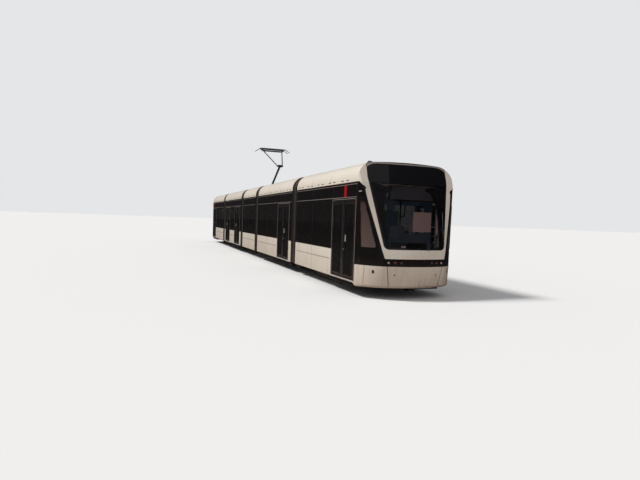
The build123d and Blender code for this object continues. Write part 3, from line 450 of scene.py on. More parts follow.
for number in range(1, 6):
    dress(frameDarkWithShade, f"underframe_{number}")
    dress(wallPaint, f"side_walls_{number}")
    dress(tintedGlass, f"glazing_{number}")
    dress(roofPaint, f"roof_{number}")
    dress(seatShell, f"seats_{number}")
    if number != 3:
        dress(doorBlack, f"doors_{number}")
    if number != 5:
        dress(bellowsCloth, f"bellows_{number}")
for number in (1, 5):
    dress(blackGloss, f"cab_sides_{number}", f"lamp_band_{number}")
    dress(white, f"cab_front_{number}", f"bumper_{number}")
    dress(screenGlass, f"windscreen_{number}")
    dress(lampLens, f"headlamps_{number}")
    dress(cabTrim, f"driver_cab_{number}")
bogieX = {1: 9.53, 2: 0.0, 3: -9.53}
wheelX = {}
for number, x in bogieX.items():
    wheelX[2 * number - 1], wheelX[2 * number] = x + axleHalf, x - axleHalf
    dress(bogieGrey, f"bogie_frame_{number}")
for number, x in wheelX.items():
    dress(wheelMaterial(number, x), f"wheelset_{number}")
dress(mastFoot, "pantograph_foot")
dress(mastGrey, "pantograph_lower_arm", "pantograph_upper_arm", "pantograph_head")
print("materials dressed")


# geometry node trees for what repeats or follows a line
def newTree(name, *sizes):
    inputs = [("Geometry", "Geometry", None), *sizes, ("Material", "Material", None)]
    return newGroup("Geometry", name, inputs, [("Geometry", "Geometry")])


def finishTree(tree, entry, leave, shape, smooth=False):
    last = addNode(tree, "GeometryNodeRealizeInstances", {0: shape}).outputs[0]
    if smooth:
        last = addNode(tree, "GeometryNodeSetShadeSmooth", {0: last}).outputs[0]
    coat = addNode(tree, "GeometryNodeSetMaterial", {"Geometry": last, "Material": entry["Material"]})
    tree.links.new(coat.outputs[0], leave[0])
    return tree


def scatter(tree, entry, leave, shape, smooth=False):
    turn = addNode(tree, "GeometryNodeInputNamedAttribute", {"Name": "turn"}, data_type="FLOAT_VECTOR")
    euler = addNode(tree, "FunctionNodeEulerToRotation", {0: turn.outputs["Attribute"]})
    spread = addNode(tree, "GeometryNodeInstanceOnPoints", {
        "Points": entry["Geometry"], "Instance": shape, "Rotation": euler.outputs[0]})
    return finishTree(tree, entry, leave, spread.outputs[0], smooth)


def sweep(tree, line, radius, sides):
    circle = addNode(tree, "GeometryNodeCurvePrimitiveCircle", {"Radius": radius, "Resolution": sides})
    return addNode(tree, "GeometryNodeCurveToMesh", {
        "Curve": line, "Profile Curve": circle.outputs[0], "Fill Caps": True}).outputs[0]


def buildSlats():
    tree, entry, leave = newTree("slats", ("Size", "Vector", (0.1, 0.01, 0.01)))
    cube = addNode(tree, "GeometryNodeMeshCube", {"Size": entry["Size"]})
    return scatter(tree, entry, leave, cube.outputs[0])


def buildStuds():
    tree, entry, leave = newTree("studs", ("Radius", "Float", 0.01), ("Height", "Float", 0.004),
                                 ("Sides", "Int", 12), ("Crown", "Float", 0.7))
    cone = addNode(tree, "GeometryNodeMeshCone", {
        "Radius Top": times(tree, entry["Radius"], entry["Crown"]), "Radius Bottom": entry["Radius"],
        "Depth": entry["Height"], "Vertices": entry["Sides"]})
    return scatter(tree, entry, leave, cone.outputs[0])


def buildRods():
    tree, entry, leave = newTree("rods", ("Radius", "Float", 0.01), ("Bend", "Float", 0.02),
                                 ("Sides", "Int", 10))
    line = addNode(tree, "GeometryNodeMeshToCurve", {0: entry["Geometry"]})
    corner = addNode(tree, "GeometryNodeFilletCurve", {
        "Curve": line.outputs[0], "Radius": entry["Bend"], "Count": 4, "Limit Radius": True}, mode="POLY")
    tube = sweep(tree, corner.outputs[0], entry["Radius"], entry["Sides"])
    return finishTree(tree, entry, leave, tube, True)


def buildCoils():
    tree, entry, leave = newTree("coils", ("Radius", "Float", 0.1), ("Wire", "Float", 0.02),
                                 ("Turns", "Float", 4.0), ("Height", "Float", 0.3))
    spiral = addNode(tree, "GeometryNodeCurveSpiral", {
        "Resolution": 18, "Rotations": entry["Turns"], "Start Radius": entry["Radius"],
        "End Radius": entry["Radius"], "Height": entry["Height"]})
    return scatter(tree, entry, leave, sweep(tree, spiral.outputs[0], entry["Wire"], 8), True)


slats, studs, rods, coils = buildSlats(), buildStuds(), buildRods(), buildCoils()


def newObject(name, data):
    made = bpy.data.objects.new(name, data)
    bpy.context.scene.collection.objects.link(made)
    return made


def bake(tree, points, sizes, material, edges=(), turns=None):
    mesh = bpy.data.meshes.new("points")
    mesh.from_pydata([tuple(point) for point in points], edges, [])
    turn = mesh.attributes.new("turn", "FLOAT_VECTOR", "POINT")
    turn.data.foreach_set("vector", [angle for row in turns or [(0, 0, 0)] * len(points) for angle in row])
    carrier = newObject("carrier", mesh)
    modifier = carrier.modifiers.new("make", "NODES")
    modifier.node_group = tree
    values = {**sizes, "Material": material}
    for item in tree.interface.items_tree:
        if item.item_type == "SOCKET" and item.in_out == "INPUT" and item.name in values:
            modifier[item.identifier] = values[item.name]
    made = bpy.data.meshes.new_from_object(carrier.evaluated_get(bpy.context.evaluated_depsgraph_get()))
    bpy.data.objects.remove(carrier)
    return made


def place(name, mesh, body, twin=True):
    mesh.name = name
    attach(newObject(name, mesh), body)
    if twin and body in twins:
        copy = mesh.copy()
        copy.transform(halfTurn)
        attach(newObject(name + "_turned", copy), twins[body])


def slab(bm, low, high, bevel=0.0):
    made = bmesh.ops.create_cube(bm, size=1.0)
    centre = (Vector(low) + Vector(high)) / 2
    size = Vector(high) - Vector(low)
    for vert in made["verts"]:
        vert.co = Vector((vert.co.x * size.x, vert.co.y * size.y, vert.co.z * size.z)) + centre
    if bevel:
        edges = list({edge for vert in made["verts"] for edge in vert.link_edges})
        bmesh.ops.bevel(bm, geom=edges, offset=bevel, segments=2, profile=0.7, affect="EDGES")


def disc(bm, centre, direction, radius, depth, segments=24, topShare=1.0):
    turn = Vector(direction).to_track_quat("Z", "Y").to_matrix().to_4x4()
    bmesh.ops.create_cone(bm, cap_ends=True, segments=segments, radius1=radius, radius2=radius * topShare,
                          depth=depth, matrix=Matrix.Translation(Vector(centre)) @ turn)


def meshFrom(bm, material, smooth=None):
    mesh = bpy.data.meshes.new("piece")
    bm.to_mesh(mesh)
    bm.free()
    mesh.materials.append(material)
    if smooth is not None:
        mesh.polygons.foreach_set("use_smooth", [True] * len(mesh.polygons))
        mesh.set_sharp_from_angle(angle=math.radians(smooth))
    return mesh


def slabPiece(boxes, material, smooth=None):
    bm = bmesh.new()
    for low, high, bevel in boxes:
        slab(bm, low, high, bevel)
    return meshFrom(bm, material, smooth)


thinSides = 6  # enough for a line of a few millimetres


def rodPiece(lines, radius, material, bend=0.02, sides=10):
    points, edges = [], []
    for line in lines:
        edges += [(len(points) + index, len(points) + index + 1) for index in range(len(line) - 1)]
        points += line
    return bake(rods, points, {"Radius": radius, "Bend": bend, "Sides": sides}, material, edges)


def ringPoints(count, radius, x, y):
    angles = [math.tau * index / count for index in range(count)]
    return [(x + radius * math.cos(angle), y + radius * math.sin(angle)) for angle in angles]


def facing(normal):
    return tuple(Vector(normal).to_track_quat("Z", "Y").to_euler())


def surfaceOf(*names):
    trees = []
    for name in names:
        mesh = nodes[name].data
        trees.append(BVHTree.FromPolygons([vert.co.copy() for vert in mesh.vertices],
                                          [tuple(face.vertices) for face in mesh.polygons]))
    return trees


def hitSurface(trees, start, direction):
    hits = [tree.ray_cast(Vector(start), Vector(direction).normalized()) for tree in trees]
    hits = [hit for hit in hits if hit[0] is not None]
    if not hits:
        raise ValueError(f"no surface ahead of {start}")
    return min(hits, key=lambda hit: hit[3])[:2]  # the nearest one's place and normal


nose = surfaceOf("bumper_1", "lamp_band_1", "cab_front_1", "windscreen_1", "cab_sides_1", "glazing_1")
screen = surfaceOf("windscreen_1")
castFrom, back = (16.0, 3.0), (-1, 0, 0)  # rays start ahead of the nose and out from its side


def onFront(y, z, trees=nose):
    return hitSurface(trees, (castFrom[0], y, z), back)


def onCheek(x, z, side):
    return hitSurface(nose, (x, side * castFrom[1], z), (0, -side, 0))


def traced(hits, lift):
    return [tuple(spot + normal * lift) for spot, normal in hits]


def between(first, last, steps):
    return [tuple(a + (b - a) * index / steps for a, b in zip(first, last)) for index in range(steps + 1)]


# white lower panels: upright seams, quarter-turn locks beside the groove, and a dark strip of painted shade
# in the groove
panelSpec = {"pitch": 1.7, "short": 0.6, "seam": 0.006, "proud": 0.0012, "gap": 0.004, "grooveShade": 0.016,
             "margin": 0.12, "bevel": 0.0008, "lockRise": 0.04, "lockProud": 0.001,
             "locksWide": (0.22, 0.78), "locksNarrow": (0.5,),
             "lock": {"Radius": 0.014, "Height": 0.003, "Sides": 14, "Crown": 0.75}}


def lowerPanels(body):
    seams, locks, turns, strips = [], [], [], []
    half, proud, margin = panelSpec["grooveShade"] / 2, panelSpec["proud"], panelSpec["margin"]
    for side in both:
        face = side * halfWidth
        for low, high in baysOf(body, side):
            count = max(1, round((high - low) / panelSpec["pitch"]))
            step = (high - low) / count
            wide = step > panelSpec["short"]
            if wide:
                # painted shade: a dark strip laid in the groove where its shadow falls
                strips.append(((low + margin, face - proud, grooveZ - half),
                               (high - margin, face + proud, grooveZ + half), panelSpec["bevel"]))
            for left in (low + index * step for index in range(count)):
                if left > low:
                    seams.append((left, face, (sillZ + waistZ) / 2))
                for share in panelSpec["locksWide" if wide else "locksNarrow"]:
                    locks.append((left + share * step, side * (halfWidth + panelSpec["lockProud"]),
                                  grooveZ + panelSpec["lockRise"]))
                    turns.append(facing((0, side, 0)))
    if seams:
        size = (panelSpec["seam"], 2 * proud, waistZ - sillZ - panelSpec["gap"])
        place(f"panel_seams_{body}", bake(slats, seams, {"Size": size}, slotDark), body)
    place(f"panel_gaskets_{body}", slabPiece(strips, panelShade), body)
    place(f"panel_locks_{body}", bake(studs, locks, panelSpec["lock"], steelGrey, turns=turns), body)


# roof edge: joints across the fairings and drain slots over the dark line
fairingSpec = {"end": 12.5, "pitch": 1.65, "line": 0.0022, "bend": 0.002, "foot": 0.021, "inner": 0.054,
               "arcSteps": 12, "slotPitch": 0.85, "slot": (0.15, 0.006, 0.02), "slotRise": 0.075,
               "pairs": (-0.2, 0.14)}


def fairingArc(side, x, inset=0.0):
    radius = fairingR - inset
    steps = fairingSpec["arcSteps"]
    angles = [math.radians(90 * index / steps) for index in range(steps + 1)]
    return [(x, side * (deckEdge + radius * math.cos(angle)), fairingFoot + radius * math.sin(angle))
            for angle in angles]


def fairingLine(side, x):
    return [(x, side * halfWidth, cantZ + fairingSpec["foot"]), *fairingArc(side, x),
            (x, side * (deckEdge - fairingSpec["inner"]), roofZ)]


def roofEdge(body):
    low, high = sections[body]["span"]
    high = min(high, fairingSpec["end"])
    count = max(2, round((high - low) / fairingSpec["pitch"]))
    lines = [fairingLine(side, low + (high - low) * index / count)
             for side in both for index in range(1, count)]
    joints = rodPiece(lines, fairingSpec["line"], rubberBlack, fairingSpec["bend"], thinSides)
    place(f"fairing_joints_{body}", joints, body)
    number = int((high - low) / fairingSpec["slotPitch"])
    slots = [(low + (index + 0.5) * (high - low) / number + offset, side * halfWidth,
              cantZ + fairingSpec["slotRise"])
             for side in both for index in range(number) for offset in fairingSpec["pairs"]]
    place(f"drain_slots_{body}", bake(slats, slots, {"Size": fairingSpec["slot"]}, slotDark), body)


# doorways: light frame lines, ribbed sills, meeting rubbers, push buttons, pulls and grab rails
doorSpec = {"line": 0.014, "inset": 0.03, "proud": 0.002, "depth": 0.006, "ends": 0.03, "bevel": 0.0015,
            "meet": (0.011, 0.008, 0.003), "rubberY": (-0.004, 0.007), "rubberZ": (0.034, 0.008),
            "pane": {"offset": 0.381, "back": 0.0035, "half": 0.306, "low": 0.11, "high": 0.085},
            "sill": {"extra": 0.005, "proud": 0.012, "z": (-0.004, 0.03), "bevel": 0.004},
            "pull": {"offset": 0.19, "z": rail + 1.37, "half": (0.011, 0.085), "bevel": 0.005},
            "ribs": 5, "ribLift": 0.001, "ribPitch": 0.006, "rib": (2 * portalHalf, 0.003, 0.0025),
            "buttonAt": (0.075, -0.001, rail + 1.08),
            "button": {"Radius": 0.03, "Height": 0.012, "Sides": 20, "Crown": 0.82},
            "railZ": (rail + 1.46, rail + 1.72), "railR": (0.014, 0.03),
            "rail": ((0.1, 1.26), (0.12, 1.2), (0.62, 1.2), (0.64, 1.26))}


def paneRubber(bm, centre, face, side, low, high, half, depth=0.0025, width=0.014, corner=0.05, steps=4):
    rings = []
    for radius in (corner, corner - width):
        ring = []
        for cx, z, start in ((1, high - corner, 0), (-1, high - corner, 90), (-1, low + corner, 180),
                             (1, low + corner, 270)):
            for angle in (math.radians(start + 90 * step / steps) for step in range(steps + 1)):
                x = centre + cx * (half - corner) + radius * math.cos(angle)
                ring.append(bm.verts.new((x, face + side * depth, z + radius * math.sin(angle))))
        rings.append(ring)
    outer, inner = rings
    for index, after in enumerate([*range(1, len(outer)), 0]):
        corners = (outer[index], outer[after], inner[after], inner[index])
        bm.faces.new(corners if side < 0 else corners[::-1])


def doorways(body):
    trim, sills, pulls, ribs, buttons, turns, rails = [], [], [], [], [], [], []
    rubber = bmesh.new()
    line, top, pane = doorSpec["line"], portalTopZ + doorSpec["ends"], doorSpec["pane"]
    sill, pull = doorSpec["sill"], doorSpec["pull"]
    meet, half, bevel = doorSpec["meet"]
    buttonX, buttonY, buttonZ = doorSpec["buttonAt"]
    foot, head = sillZ + doorSpec["rubberZ"][0], portalTopZ - doorSpec["rubberZ"][1]
    for side in both:
        face = side * halfWidth
        frameY = (face - doorSpec["depth"], face + doorSpec["proud"])
        rubberY = sorted(face + side * offset for offset in doorSpec["rubberY"])
        sillY = sorted((face, face + side * sill["proud"]))
        for centre in sections[body]["doors"][side]:
            for end in both:
                edge = centre + end * (portalHalf + doorSpec["inset"] * 0.5)
                trim.append(((edge - line / 2, frameY[0], sillZ + doorSpec["ends"]),
                             (edge + line / 2, frameY[1], top), doorSpec["bevel"]))
                slab(rubber, (centre + end * meet - half, rubberY[0], foot),
                     (centre + end * meet + half, rubberY[1], head), bevel)
                paneRubber(rubber, centre + end * pane["offset"], face - side * pane["back"], side,
                           sillZ + pane["low"], portalTopZ - pane["high"], pane["half"])
                rails += [[(centre + end * x, side * y, height) for x, y in doorSpec["rail"]]
                          for height in doorSpec["railZ"]]
            trim.append(((centre - portalHalf, frameY[0], top - line), (centre + portalHalf, frameY[1], top),
                         doorSpec["bevel"]))
            sills.append(((centre - portalHalf - sill["extra"], sillY[0], sillZ + sill["z"][0]),
                          (centre + portalHalf + sill["extra"], sillY[1], sillZ + sill["z"][1]),
                          sill["bevel"]))
            pulls.append(((centre + pull["offset"] - pull["half"][0], sillY[0], pull["z"] - pull["half"][1]),
                          (centre + pull["offset"] + pull["half"][0], sillY[1], pull["z"] + pull["half"][1]),
                          pull["bevel"]))
            ribs += [(centre, face + side * sill["proud"],
                      sillZ + doorSpec["ribLift"] + doorSpec["ribPitch"] * index)
                     for index in range(doorSpec["ribs"])]
            buttons.append((centre + buttonX, face + side * buttonY, buttonZ))
            turns.append(facing((0, side, 0)))
    railR, railBend = doorSpec["railR"]
    place(f"door_frames_{body}", slabPiece(trim, trimGrey), body)
    place(f"door_rubbers_{body}", meshFrom(rubber, rubberBlack), body)
    place(f"door_pulls_{body}", slabPiece(pulls, lampWhite), body)
    place(f"door_sills_{body}", slabPiece(sills, sillPale), body)
    place(f"sill_ribs_{body}", bake(slats, ribs, {"Size": doorSpec["rib"]}, steelGrey), body)
    place(f"door_buttons_{body}", bake(studs, buttons, doorSpec["button"], steelGrey, turns=turns), body)
    place(f"door_rails_{body}", rodPiece(rails, railR, aluminium, railBend), body)


# flush side glass: upright joints, the header line over windows and doors, and a painted highlight line under
# the roof
glassSpec = {"pitch": 1.65, "least": 0.5, "joint": 0.012, "doorJoint": 0.01, "line": 0.013, "margin": 0.11,
             "shift": (0.09, 0.045), "y": (-0.002, 0.0012, 0.0014), "bevel": 0.0008, "z": (0.008, 0.02),
             "headerZ": rail + 2.388, "highlightZ": cantZ - 0.044, "ends": 0.03, "cabEnd": 12.8}


def glassLines(body):
    joints, lines = [], []
    low, high = sections[body]["span"]
    end = glassSpec["cabEnd"] if body == "section_1" else high - glassSpec["ends"]
    inner, jointOuter, lineOuter = glassSpec["y"]
    more, less = glassSpec["shift"]
    for side in both:
        face = side * halfWidth
        spots = []
        for first, last in baysOf(body, side):
            length = last - first - 2 * glassSpec["margin"]
            if length < glassSpec["least"]:
                continue
            count = max(1, round(length / glassSpec["pitch"]))
            spots += [(first + glassSpec["margin"] + index * (length + more) / count - less,
                       glassSpec["joint"] / 2, waistZ + glassSpec["z"][0]) for index in range(1, count)]
        spots += [(centre - portalHalf, glassSpec["doorJoint"] / 2, glassSpec["headerZ"])
                  for centre in sections[body]["doors"][side]]
        joints += [((x - half, face + inner, foot), (x + half, face + jointOuter, cantZ - glassSpec["z"][1]),
                    glassSpec["bevel"]) for x, half, foot in spots]
        # the upper line is a painted highlight along the lower edge of the reveal under the roof
        lines += [((low + glassSpec["ends"], face + inner, height),
                   (end, face + lineOuter, height + glassSpec["line"]), glassSpec["bevel"])
                  for height in (glassSpec["headerZ"], glassSpec["highlightZ"])]
    place(f"glass_joints_{body}", slabPiece(joints, rubberBlack), body)
    place(f"header_lines_{body}", slabPiece(lines, trimGrey), body)


# inside the saloon: poles, ceiling rails and light strips
saloonSpec = {"end": 11.9, "pole": 0.0175, "bend": 0.08, "railY": 0.62, "railZ": rail + 1.98,
              "railEnds": 0.25, "poleStep": 1.5, "topGap": (0.01, 0.005), "lightY": (0.39, 0.51),
              "lightZ": (0.014, 0.001), "lightEnds": (0.15, 0.1), "lightBevel": 0.004}


def saloon(body):
    low, high = sections[body]["span"]
    high = min(high, saloonSpec["end"])
    ends, (railGap, poleGap) = saloonSpec["railEnds"], saloonSpec["topGap"]
    number = max(1, int((high - low) / saloonSpec["poleStep"]))
    lines = []
    for y in (side * saloonSpec["railY"] for side in both):
        lines.append([(low + ends, y, ceilingZ - railGap), (low + ends, y, saloonSpec["railZ"]),
                      (high - ends, y, saloonSpec["railZ"]), (high - ends, y, ceilingZ - railGap)])
        for x in (low + (index + 0.5) * (high - low) / number for index in range(number)):
            lines.append([(x, y, highFloorZ), (x, y, ceilingZ - poleGap)])
    place(f"saloon_poles_{body}", rodPiece(lines, saloonSpec["pole"], handrail, saloonSpec["bend"]), body)
    strips = []
    for side in both:
        near, far = sorted(side * y for y in saloonSpec["lightY"])
        strips.append(((low + saloonSpec["lightEnds"][0], near, ceilingZ - saloonSpec["lightZ"][0]),
                       (high - saloonSpec["lightEnds"][1], far, ceilingZ - saloonSpec["lightZ"][1]),
                       saloonSpec["lightBevel"]))
    place(f"ceiling_lights_{body}", slabPiece(strips, lampWhite), body)


for body in sections:
    lowerPanels(body)
    roofEdge(body)
    glassLines(body)
    saloon(body)
    if sections[body]["doors"][1]:
        doorways(body)
print("body sides dressed")


# cab: the finishes inside it glow faintly, as they do by the daylight that falls in
displayFace = finishMaterial("displayFace", (0.032, 0.031, 0.031), {
    "rough": 0.45, "bump": 0.15, "grain": 300.0, "dustAmount": 0.05, "glow": (0.012, 0.011, 0.013)})
# painted light: the glow and the lighter teal towards the bottom stand in for light on the partition
tealPanel = finishMaterial("tealPanel", lambda tree: mixColour(
    tree, rangeNode(tree, axisValues(tree)[2], 1.2, 2.0), (0.006, 0.03, 0.042), (0.006, 0.009, 0.02)), {
    "rough": 0.35, "bump": 0.05, "dustAmount": 0.05, "glow": (0.0, 0.004, 0.008)})
panelGrey = finishMaterial("panelGrey", (0.06, 0.058, 0.06), {
    "rough": 0.6, "bump": 0.15, "dustAmount": 0.05, "glow": (0.012, 0.014, 0.018)})
blindCloth = finishMaterial("blindCloth", (0.5, 0.4, 0.37), {
    "rough": 0.8, "bump": 0.2, "dustAmount": 0.05, "glow": (0.11, 0.068, 0.06)})
# painted shade: the lip is white paint, given a darker grey for the shade it sits in
lipPaintedShade = finishMaterial("lipPaintedShade", (0.3, 0.262, 0.255), {"rough": 0.35, "coat": 0.4, "dustAmount": 0.3})

wiperSpec = {"pivot": (0.31, 1.215), "tip": (0.83, 1.76), "blade": 0.36, "slant": (-0.04, 0.02),
             "hub": (0.032, 0.045, 20, 0.8), "hubLift": 0.018, "arm": (0.03, 0.009, 0.01),
             "rubber": (0.012, 0.007, 0.005), "carrier": (0.022, 0.005, 0.005),
             "armSteps": 6, "bladeSteps": 10}


def wiper():
    bm = bmesh.new()
    spot, normal = onFront(*wiperSpec["pivot"])
    disc(bm, spot + normal * wiperSpec["hubLift"], normal, *wiperSpec["hub"])
    place("wiper_hub_front", meshFrom(bm, rubberBlack, smooth=40), "section_1")
    lift, radius, bend = wiperSpec["arm"]
    sweepLine = between(wiperSpec["pivot"], wiperSpec["tip"], wiperSpec["armSteps"])
    arm = traced([onFront(y, z) for y, z in sweepLine], lift)
    place("wiper_arm_front", rodPiece([arm], radius, slotDark, bend), "section_1")
    y, z = wiperSpec["tip"]
    low, high = ((y + wiperSpec["slant"][end], z + (2 * end - 1) * wiperSpec["blade"]) for end in (0, 1))
    hits = [onFront(y, z) for y, z in between(low, high, wiperSpec["bladeSteps"])]
    for name, key, material in (("wiper_blade_front", "rubber", rubberBlack),
                                ("wiper_carrier_front", "carrier", steelGrey)):
        lift, radius, bend = wiperSpec[key]
        place(name, rodPiece([traced(hits, lift)], radius, material, bend, thinSides), "section_1")


bezelSpec = {"radius": 0.0022, "lift": 0.0005, "bend": 0.001, "points": 24, "sides": 8}


def lampBezels():
    rings = []
    for centre in (side * reach for side in both for reach in lampSpec["places"]):
        ring = ringPoints(bezelSpec["points"], lampSpec["radius"] + lampSpec["rim"], centre, lampSpec["z"])
        rings.append(traced([onFront(y, z) for y, z in [*ring, ring[0]]], bezelSpec["lift"]))
    bezels = rodPiece(rings, bezelSpec["radius"], bogieGrey, bezelSpec["bend"], bezelSpec["sides"])
    place("lamp_bezels", bezels, "section_1")


skirtSpec = {"seam": ((12.966, rail + 0.27), (13.015, grooveZ - 0.004)), "line": (0.0035, 0.002),
             "cover": (13.181, 0.66, 0.03, 24), "coverTall": 1.45, "hole": (-0.56, 0.6, 0.018, 20),
             "depth": 0.006, "steps": 8}


def skirtLines():
    seam = between(*skirtSpec["seam"], skirtSpec["steps"])
    lines = [traced([onCheek(x, z, side) for x, z in seam], 0.0) for side in both]
    radius, bend = skirtSpec["line"]
    place("skirt_seams", rodPiece(lines, radius, slotDark, bend, thinSides), "section_1")
    bm = bmesh.new()
    x, z, radius, count = skirtSpec["cover"]
    for side in both:
        disc(bm, *onCheek(x, z, side), radius, skirtSpec["depth"], count)
    for vert in bm.verts:
        vert.co.z = (vert.co.z - z) * skirtSpec["coverTall"] + z
    y, z, radius, count = skirtSpec["hole"]
    for side in both:
        disc(bm, *onFront(side * y, z), radius, skirtSpec["depth"], count)
    place("skirt_covers", meshFrom(bm, slotDark, smooth=40), "section_1")


markSpec = {"stripe": ((11.975, rail + 2.407), (12.15, rail + 2.70)), "stripeHalf": 0.001,
            "stripeBevel": 0.0004, "podAt": (12.87, 2.553, -1), "pod": (0.11, 0.014, 0.014),
            "podBevel": 0.01, "eyeAt": (-0.09, 0.004, -0.01), "eye": ((0, -1, -0.4), 0.016, 0.03, 18, 0.8),
            "cap": ((12.68, -0.97, roofZ - 0.012), (0.25, 0, 1), 0.075, 0.06, 28, 0.6)}


def cabMarks():
    (left, foot), (right, head) = markSpec["stripe"]
    half = markSpec["stripeHalf"]
    stripes = [((left, side * halfWidth - half, foot), (right, side * halfWidth + half, head),
                markSpec["stripeBevel"]) for side in both]
    place("red_stripes", slabPiece(stripes, redStripe), "section_1")
    pod = bmesh.new()
    spot = onCheek(*markSpec["podAt"])[0]
    size = Vector(markSpec["pod"])
    slab(pod, spot - size, spot + size, markSpec["podBevel"])
    disc(pod, spot + Vector(markSpec["eyeAt"]), *markSpec["eye"])
    place("camera_pods", meshFrom(pod, caseGrey, smooth=35), "section_1")
    cap = bmesh.new()
    disc(cap, *markSpec["cap"])
    place("shoulder_cap", meshFrom(cap, rubberBlack, smooth=35), "section_1")


# pale lip of the roof along the top of the windscreen, deeper at its two corners; its white is painted grey
# as shade
lipSpec = {"reach": 1.085, "stations": 48, "depth": 0.032, "corner": 0.05, "curl": 8, "proud": 0.004,
           "sunk": 0.002, "drop": 0.003}


def screenTop(y):
    height = roofZ
    while height > deckZ and screen[0].ray_cast(Vector((castFrom[0], y, height)), Vector(back))[0] is None:
        height -= lipSpec["drop"]
    return height


def roofLip():
    bm = bmesh.new()
    rings = []
    proud, sunk = lipSpec["proud"], lipSpec["sunk"]
    for index in range(lipSpec["stations"] + 1):
        share = 2 * index / lipSpec["stations"] - 1
        y = share * lipSpec["reach"]
        top = screenTop(y) - sunk
        foot = top - (lipSpec["depth"] + lipSpec["corner"] * abs(share) ** lipSpec["curl"])
        ring = []
        for z, lift in ((top, -sunk), (top, proud), (foot, proud), (foot, -sunk)):
            spot, normal = onFront(y, z, screen)
            ring.append(bm.verts.new(spot + normal * lift))
        rings.append(ring)
    for first, second in zip(rings, rings[1:]):
        for index, after in ((0, 1), (1, 2), (2, 3), (3, 0)):
            bm.faces.new((first[index], second[index], second[after], first[after]))
    bm.faces.new(rings[0])
    bm.faces.new(rings[-1][::-1])
    bmesh.ops.recalc_face_normals(bm, faces=bm.faces)
    place("roof_lip", meshFrom(bm, lipPaintedShade, smooth=40), "section_1")


rimSpec = {"corners": ((12.924, 1.229), (13.232, 1.229), (12.979, 2.296), (12.894, 2.296)), "radius": 0.006,
           "bend": 0.03, "lift": 0.0015, "steps": 8}


def cabRims():
    outline, corners = [], rimSpec["corners"]
    for first, second in zip(corners, corners[1:] + corners[:1]):
        outline += between(first, second, rimSpec["steps"])[:-1]
    outline.append(outline[0])
    rings = [traced([onCheek(x, z, side) for x, z in outline], rimSpec["lift"]) for side in both]
    rims = rodPiece(rings, rimSpec["radius"], rubberBlack, rimSpec["bend"], thinSides)
    place("side_window_rims", rims, "section_1")


# inside the cab, each piece as boxes with a low corner, a high corner and a bevel
cabSpec = {
    "screens": [box for y, half in ((-0.33, 0.16), (0.0, 0.17), (0.33, 0.16)) for box in (
        ((13.0, y - half, deskZ + 0.03), (13.03, y + half, deskZ + 0.21), 0.008),
        ((13.02, y - 0.03, deskZ - 0.01), (13.05, y + 0.03, deskZ + 0.06), 0.005))],
    "displayBox": [((12.74, -0.48, 2.37), (12.798, 0.92, 2.74), 0.012)],
    "displayFace": [((12.796, -0.43, 2.41), (12.804, 0.87, 2.72), 0.002)],
    "blinds": [((12.05, 0.66, 1.6), (12.075, 1.2, 2.13), 0.004),
               ((12.44, 1.12, 1.55), (12.5, 1.15, 2.1), 0.01),
               ((12.94, 0.875, 1.27), (12.985, 0.905, 2.07), 0.008),
               ((13.06, -0.36, deskZ + 0.012), (13.1, -0.2, deskZ + 0.02), 0.003),
               ((13.03, -0.21, deskZ + 0.01), (13.05, -0.09, deskZ + 0.13), 0.006)],
    "panel": [((12.05, -0.78, 0.75), (12.07, 0.2, 2.14), 0.004)],
    "lower": [((12.05, 0.3, 0.75), (12.07, 1.2, 1.56), 0.004)],
    "pads": [((12.33, -0.21, rail + 1.42), (12.40, 0.21, rail + 1.72), 0.03),
             ((12.42, -0.315, rail + 0.98), (12.72, -0.245, rail + 1.03), 0.015),
             ((12.42, 0.245, rail + 0.98), (12.72, 0.315, rail + 1.03), 0.015),
             ((12.36, -0.235, rail + 0.77), (12.79, 0.235, rail + 0.83), 0.02)],
    "knobX": 12.96, "knobY": (-0.42, -0.36, -0.3, 0.3, 0.36, 0.42, -0.12, -0.06, 0.06, 0.12),
    "knobDrop": 0.025, "knob": {"Radius": 0.014, "Height": 0.02, "Sides": 12, "Crown": 0.8}, "poleR": 0.02,
    "poles": [[(12.1, 0.24, rail + 0.4), (12.1, 0.24, ceilingZ)],
              [(12.9, 0.34, deskZ - 0.04), (12.88, 0.34, deskZ + 0.09)]]}


def cabInside():
    displays = cabSpec["screens"] + cabSpec["displayBox"]
    for name, boxes, material in (("cab_displays", displays, blackGloss),
                                  ("destination_face", cabSpec["displayFace"], displayFace),
                                  ("cab_blind", cabSpec["blinds"], blindCloth),
                                  ("partition_panel", cabSpec["panel"], tealPanel),
                                  ("partition_lower", cabSpec["lower"], panelGrey)):
        place(name, slabPiece(boxes, material), "section_1")
    knobs = [(cabSpec["knobX"], y, deskZ - cabSpec["knobDrop"]) for y in cabSpec["knobY"]]
    place("desk_buttons", bake(studs, knobs, cabSpec["knob"], redStripe), "section_1")
    place("cab_poles", rodPiece(cabSpec["poles"], cabSpec["poleR"], slotDark), "section_1")
    place("driver_seat_pads", slabPiece(cabSpec["pads"], seatShell, smooth=40), "section_1")


wiper()
lampBezels()
skirtLines()
cabMarks()
roofLip()
cabRims()
cabInside()
print("cab dressed")


# gangways: pleated cloth, a hoop round its middle and its two end frames
gangways = ((2, "centre_section", "section_2", 1.725), (1, "section_2", "section_1", 7.57),
            (3, "centre_section", "section_4", -1.725), (4, "section_4", "section_5", -7.57))
hoopSpec = {"bendHalf": 0.28, "merge": 0.00002, "foot": 0.01, "inset": 0.03, "bend": 0.01,
            "middle": ((-0.028, 0.028), 0.011), "edges": ((-0.249, -0.124, 0.124, 0.249), 0.005),
            "frame": (0.272, 0.016, 0.012)}


def archLine(x, inset):
    foot = sillZ + hoopSpec["foot"]
    return [(x, -(halfWidth - inset), foot), *fairingArc(-1, x, inset), *fairingArc(1, x, inset)[::-1],
            (x, halfWidth - inset, foot)]


def archPiece(spots, inset, radius, material):
    return rodPiece([archLine(x, inset) for x in spots], radius, material, hoopSpec["bend"], thinSides)


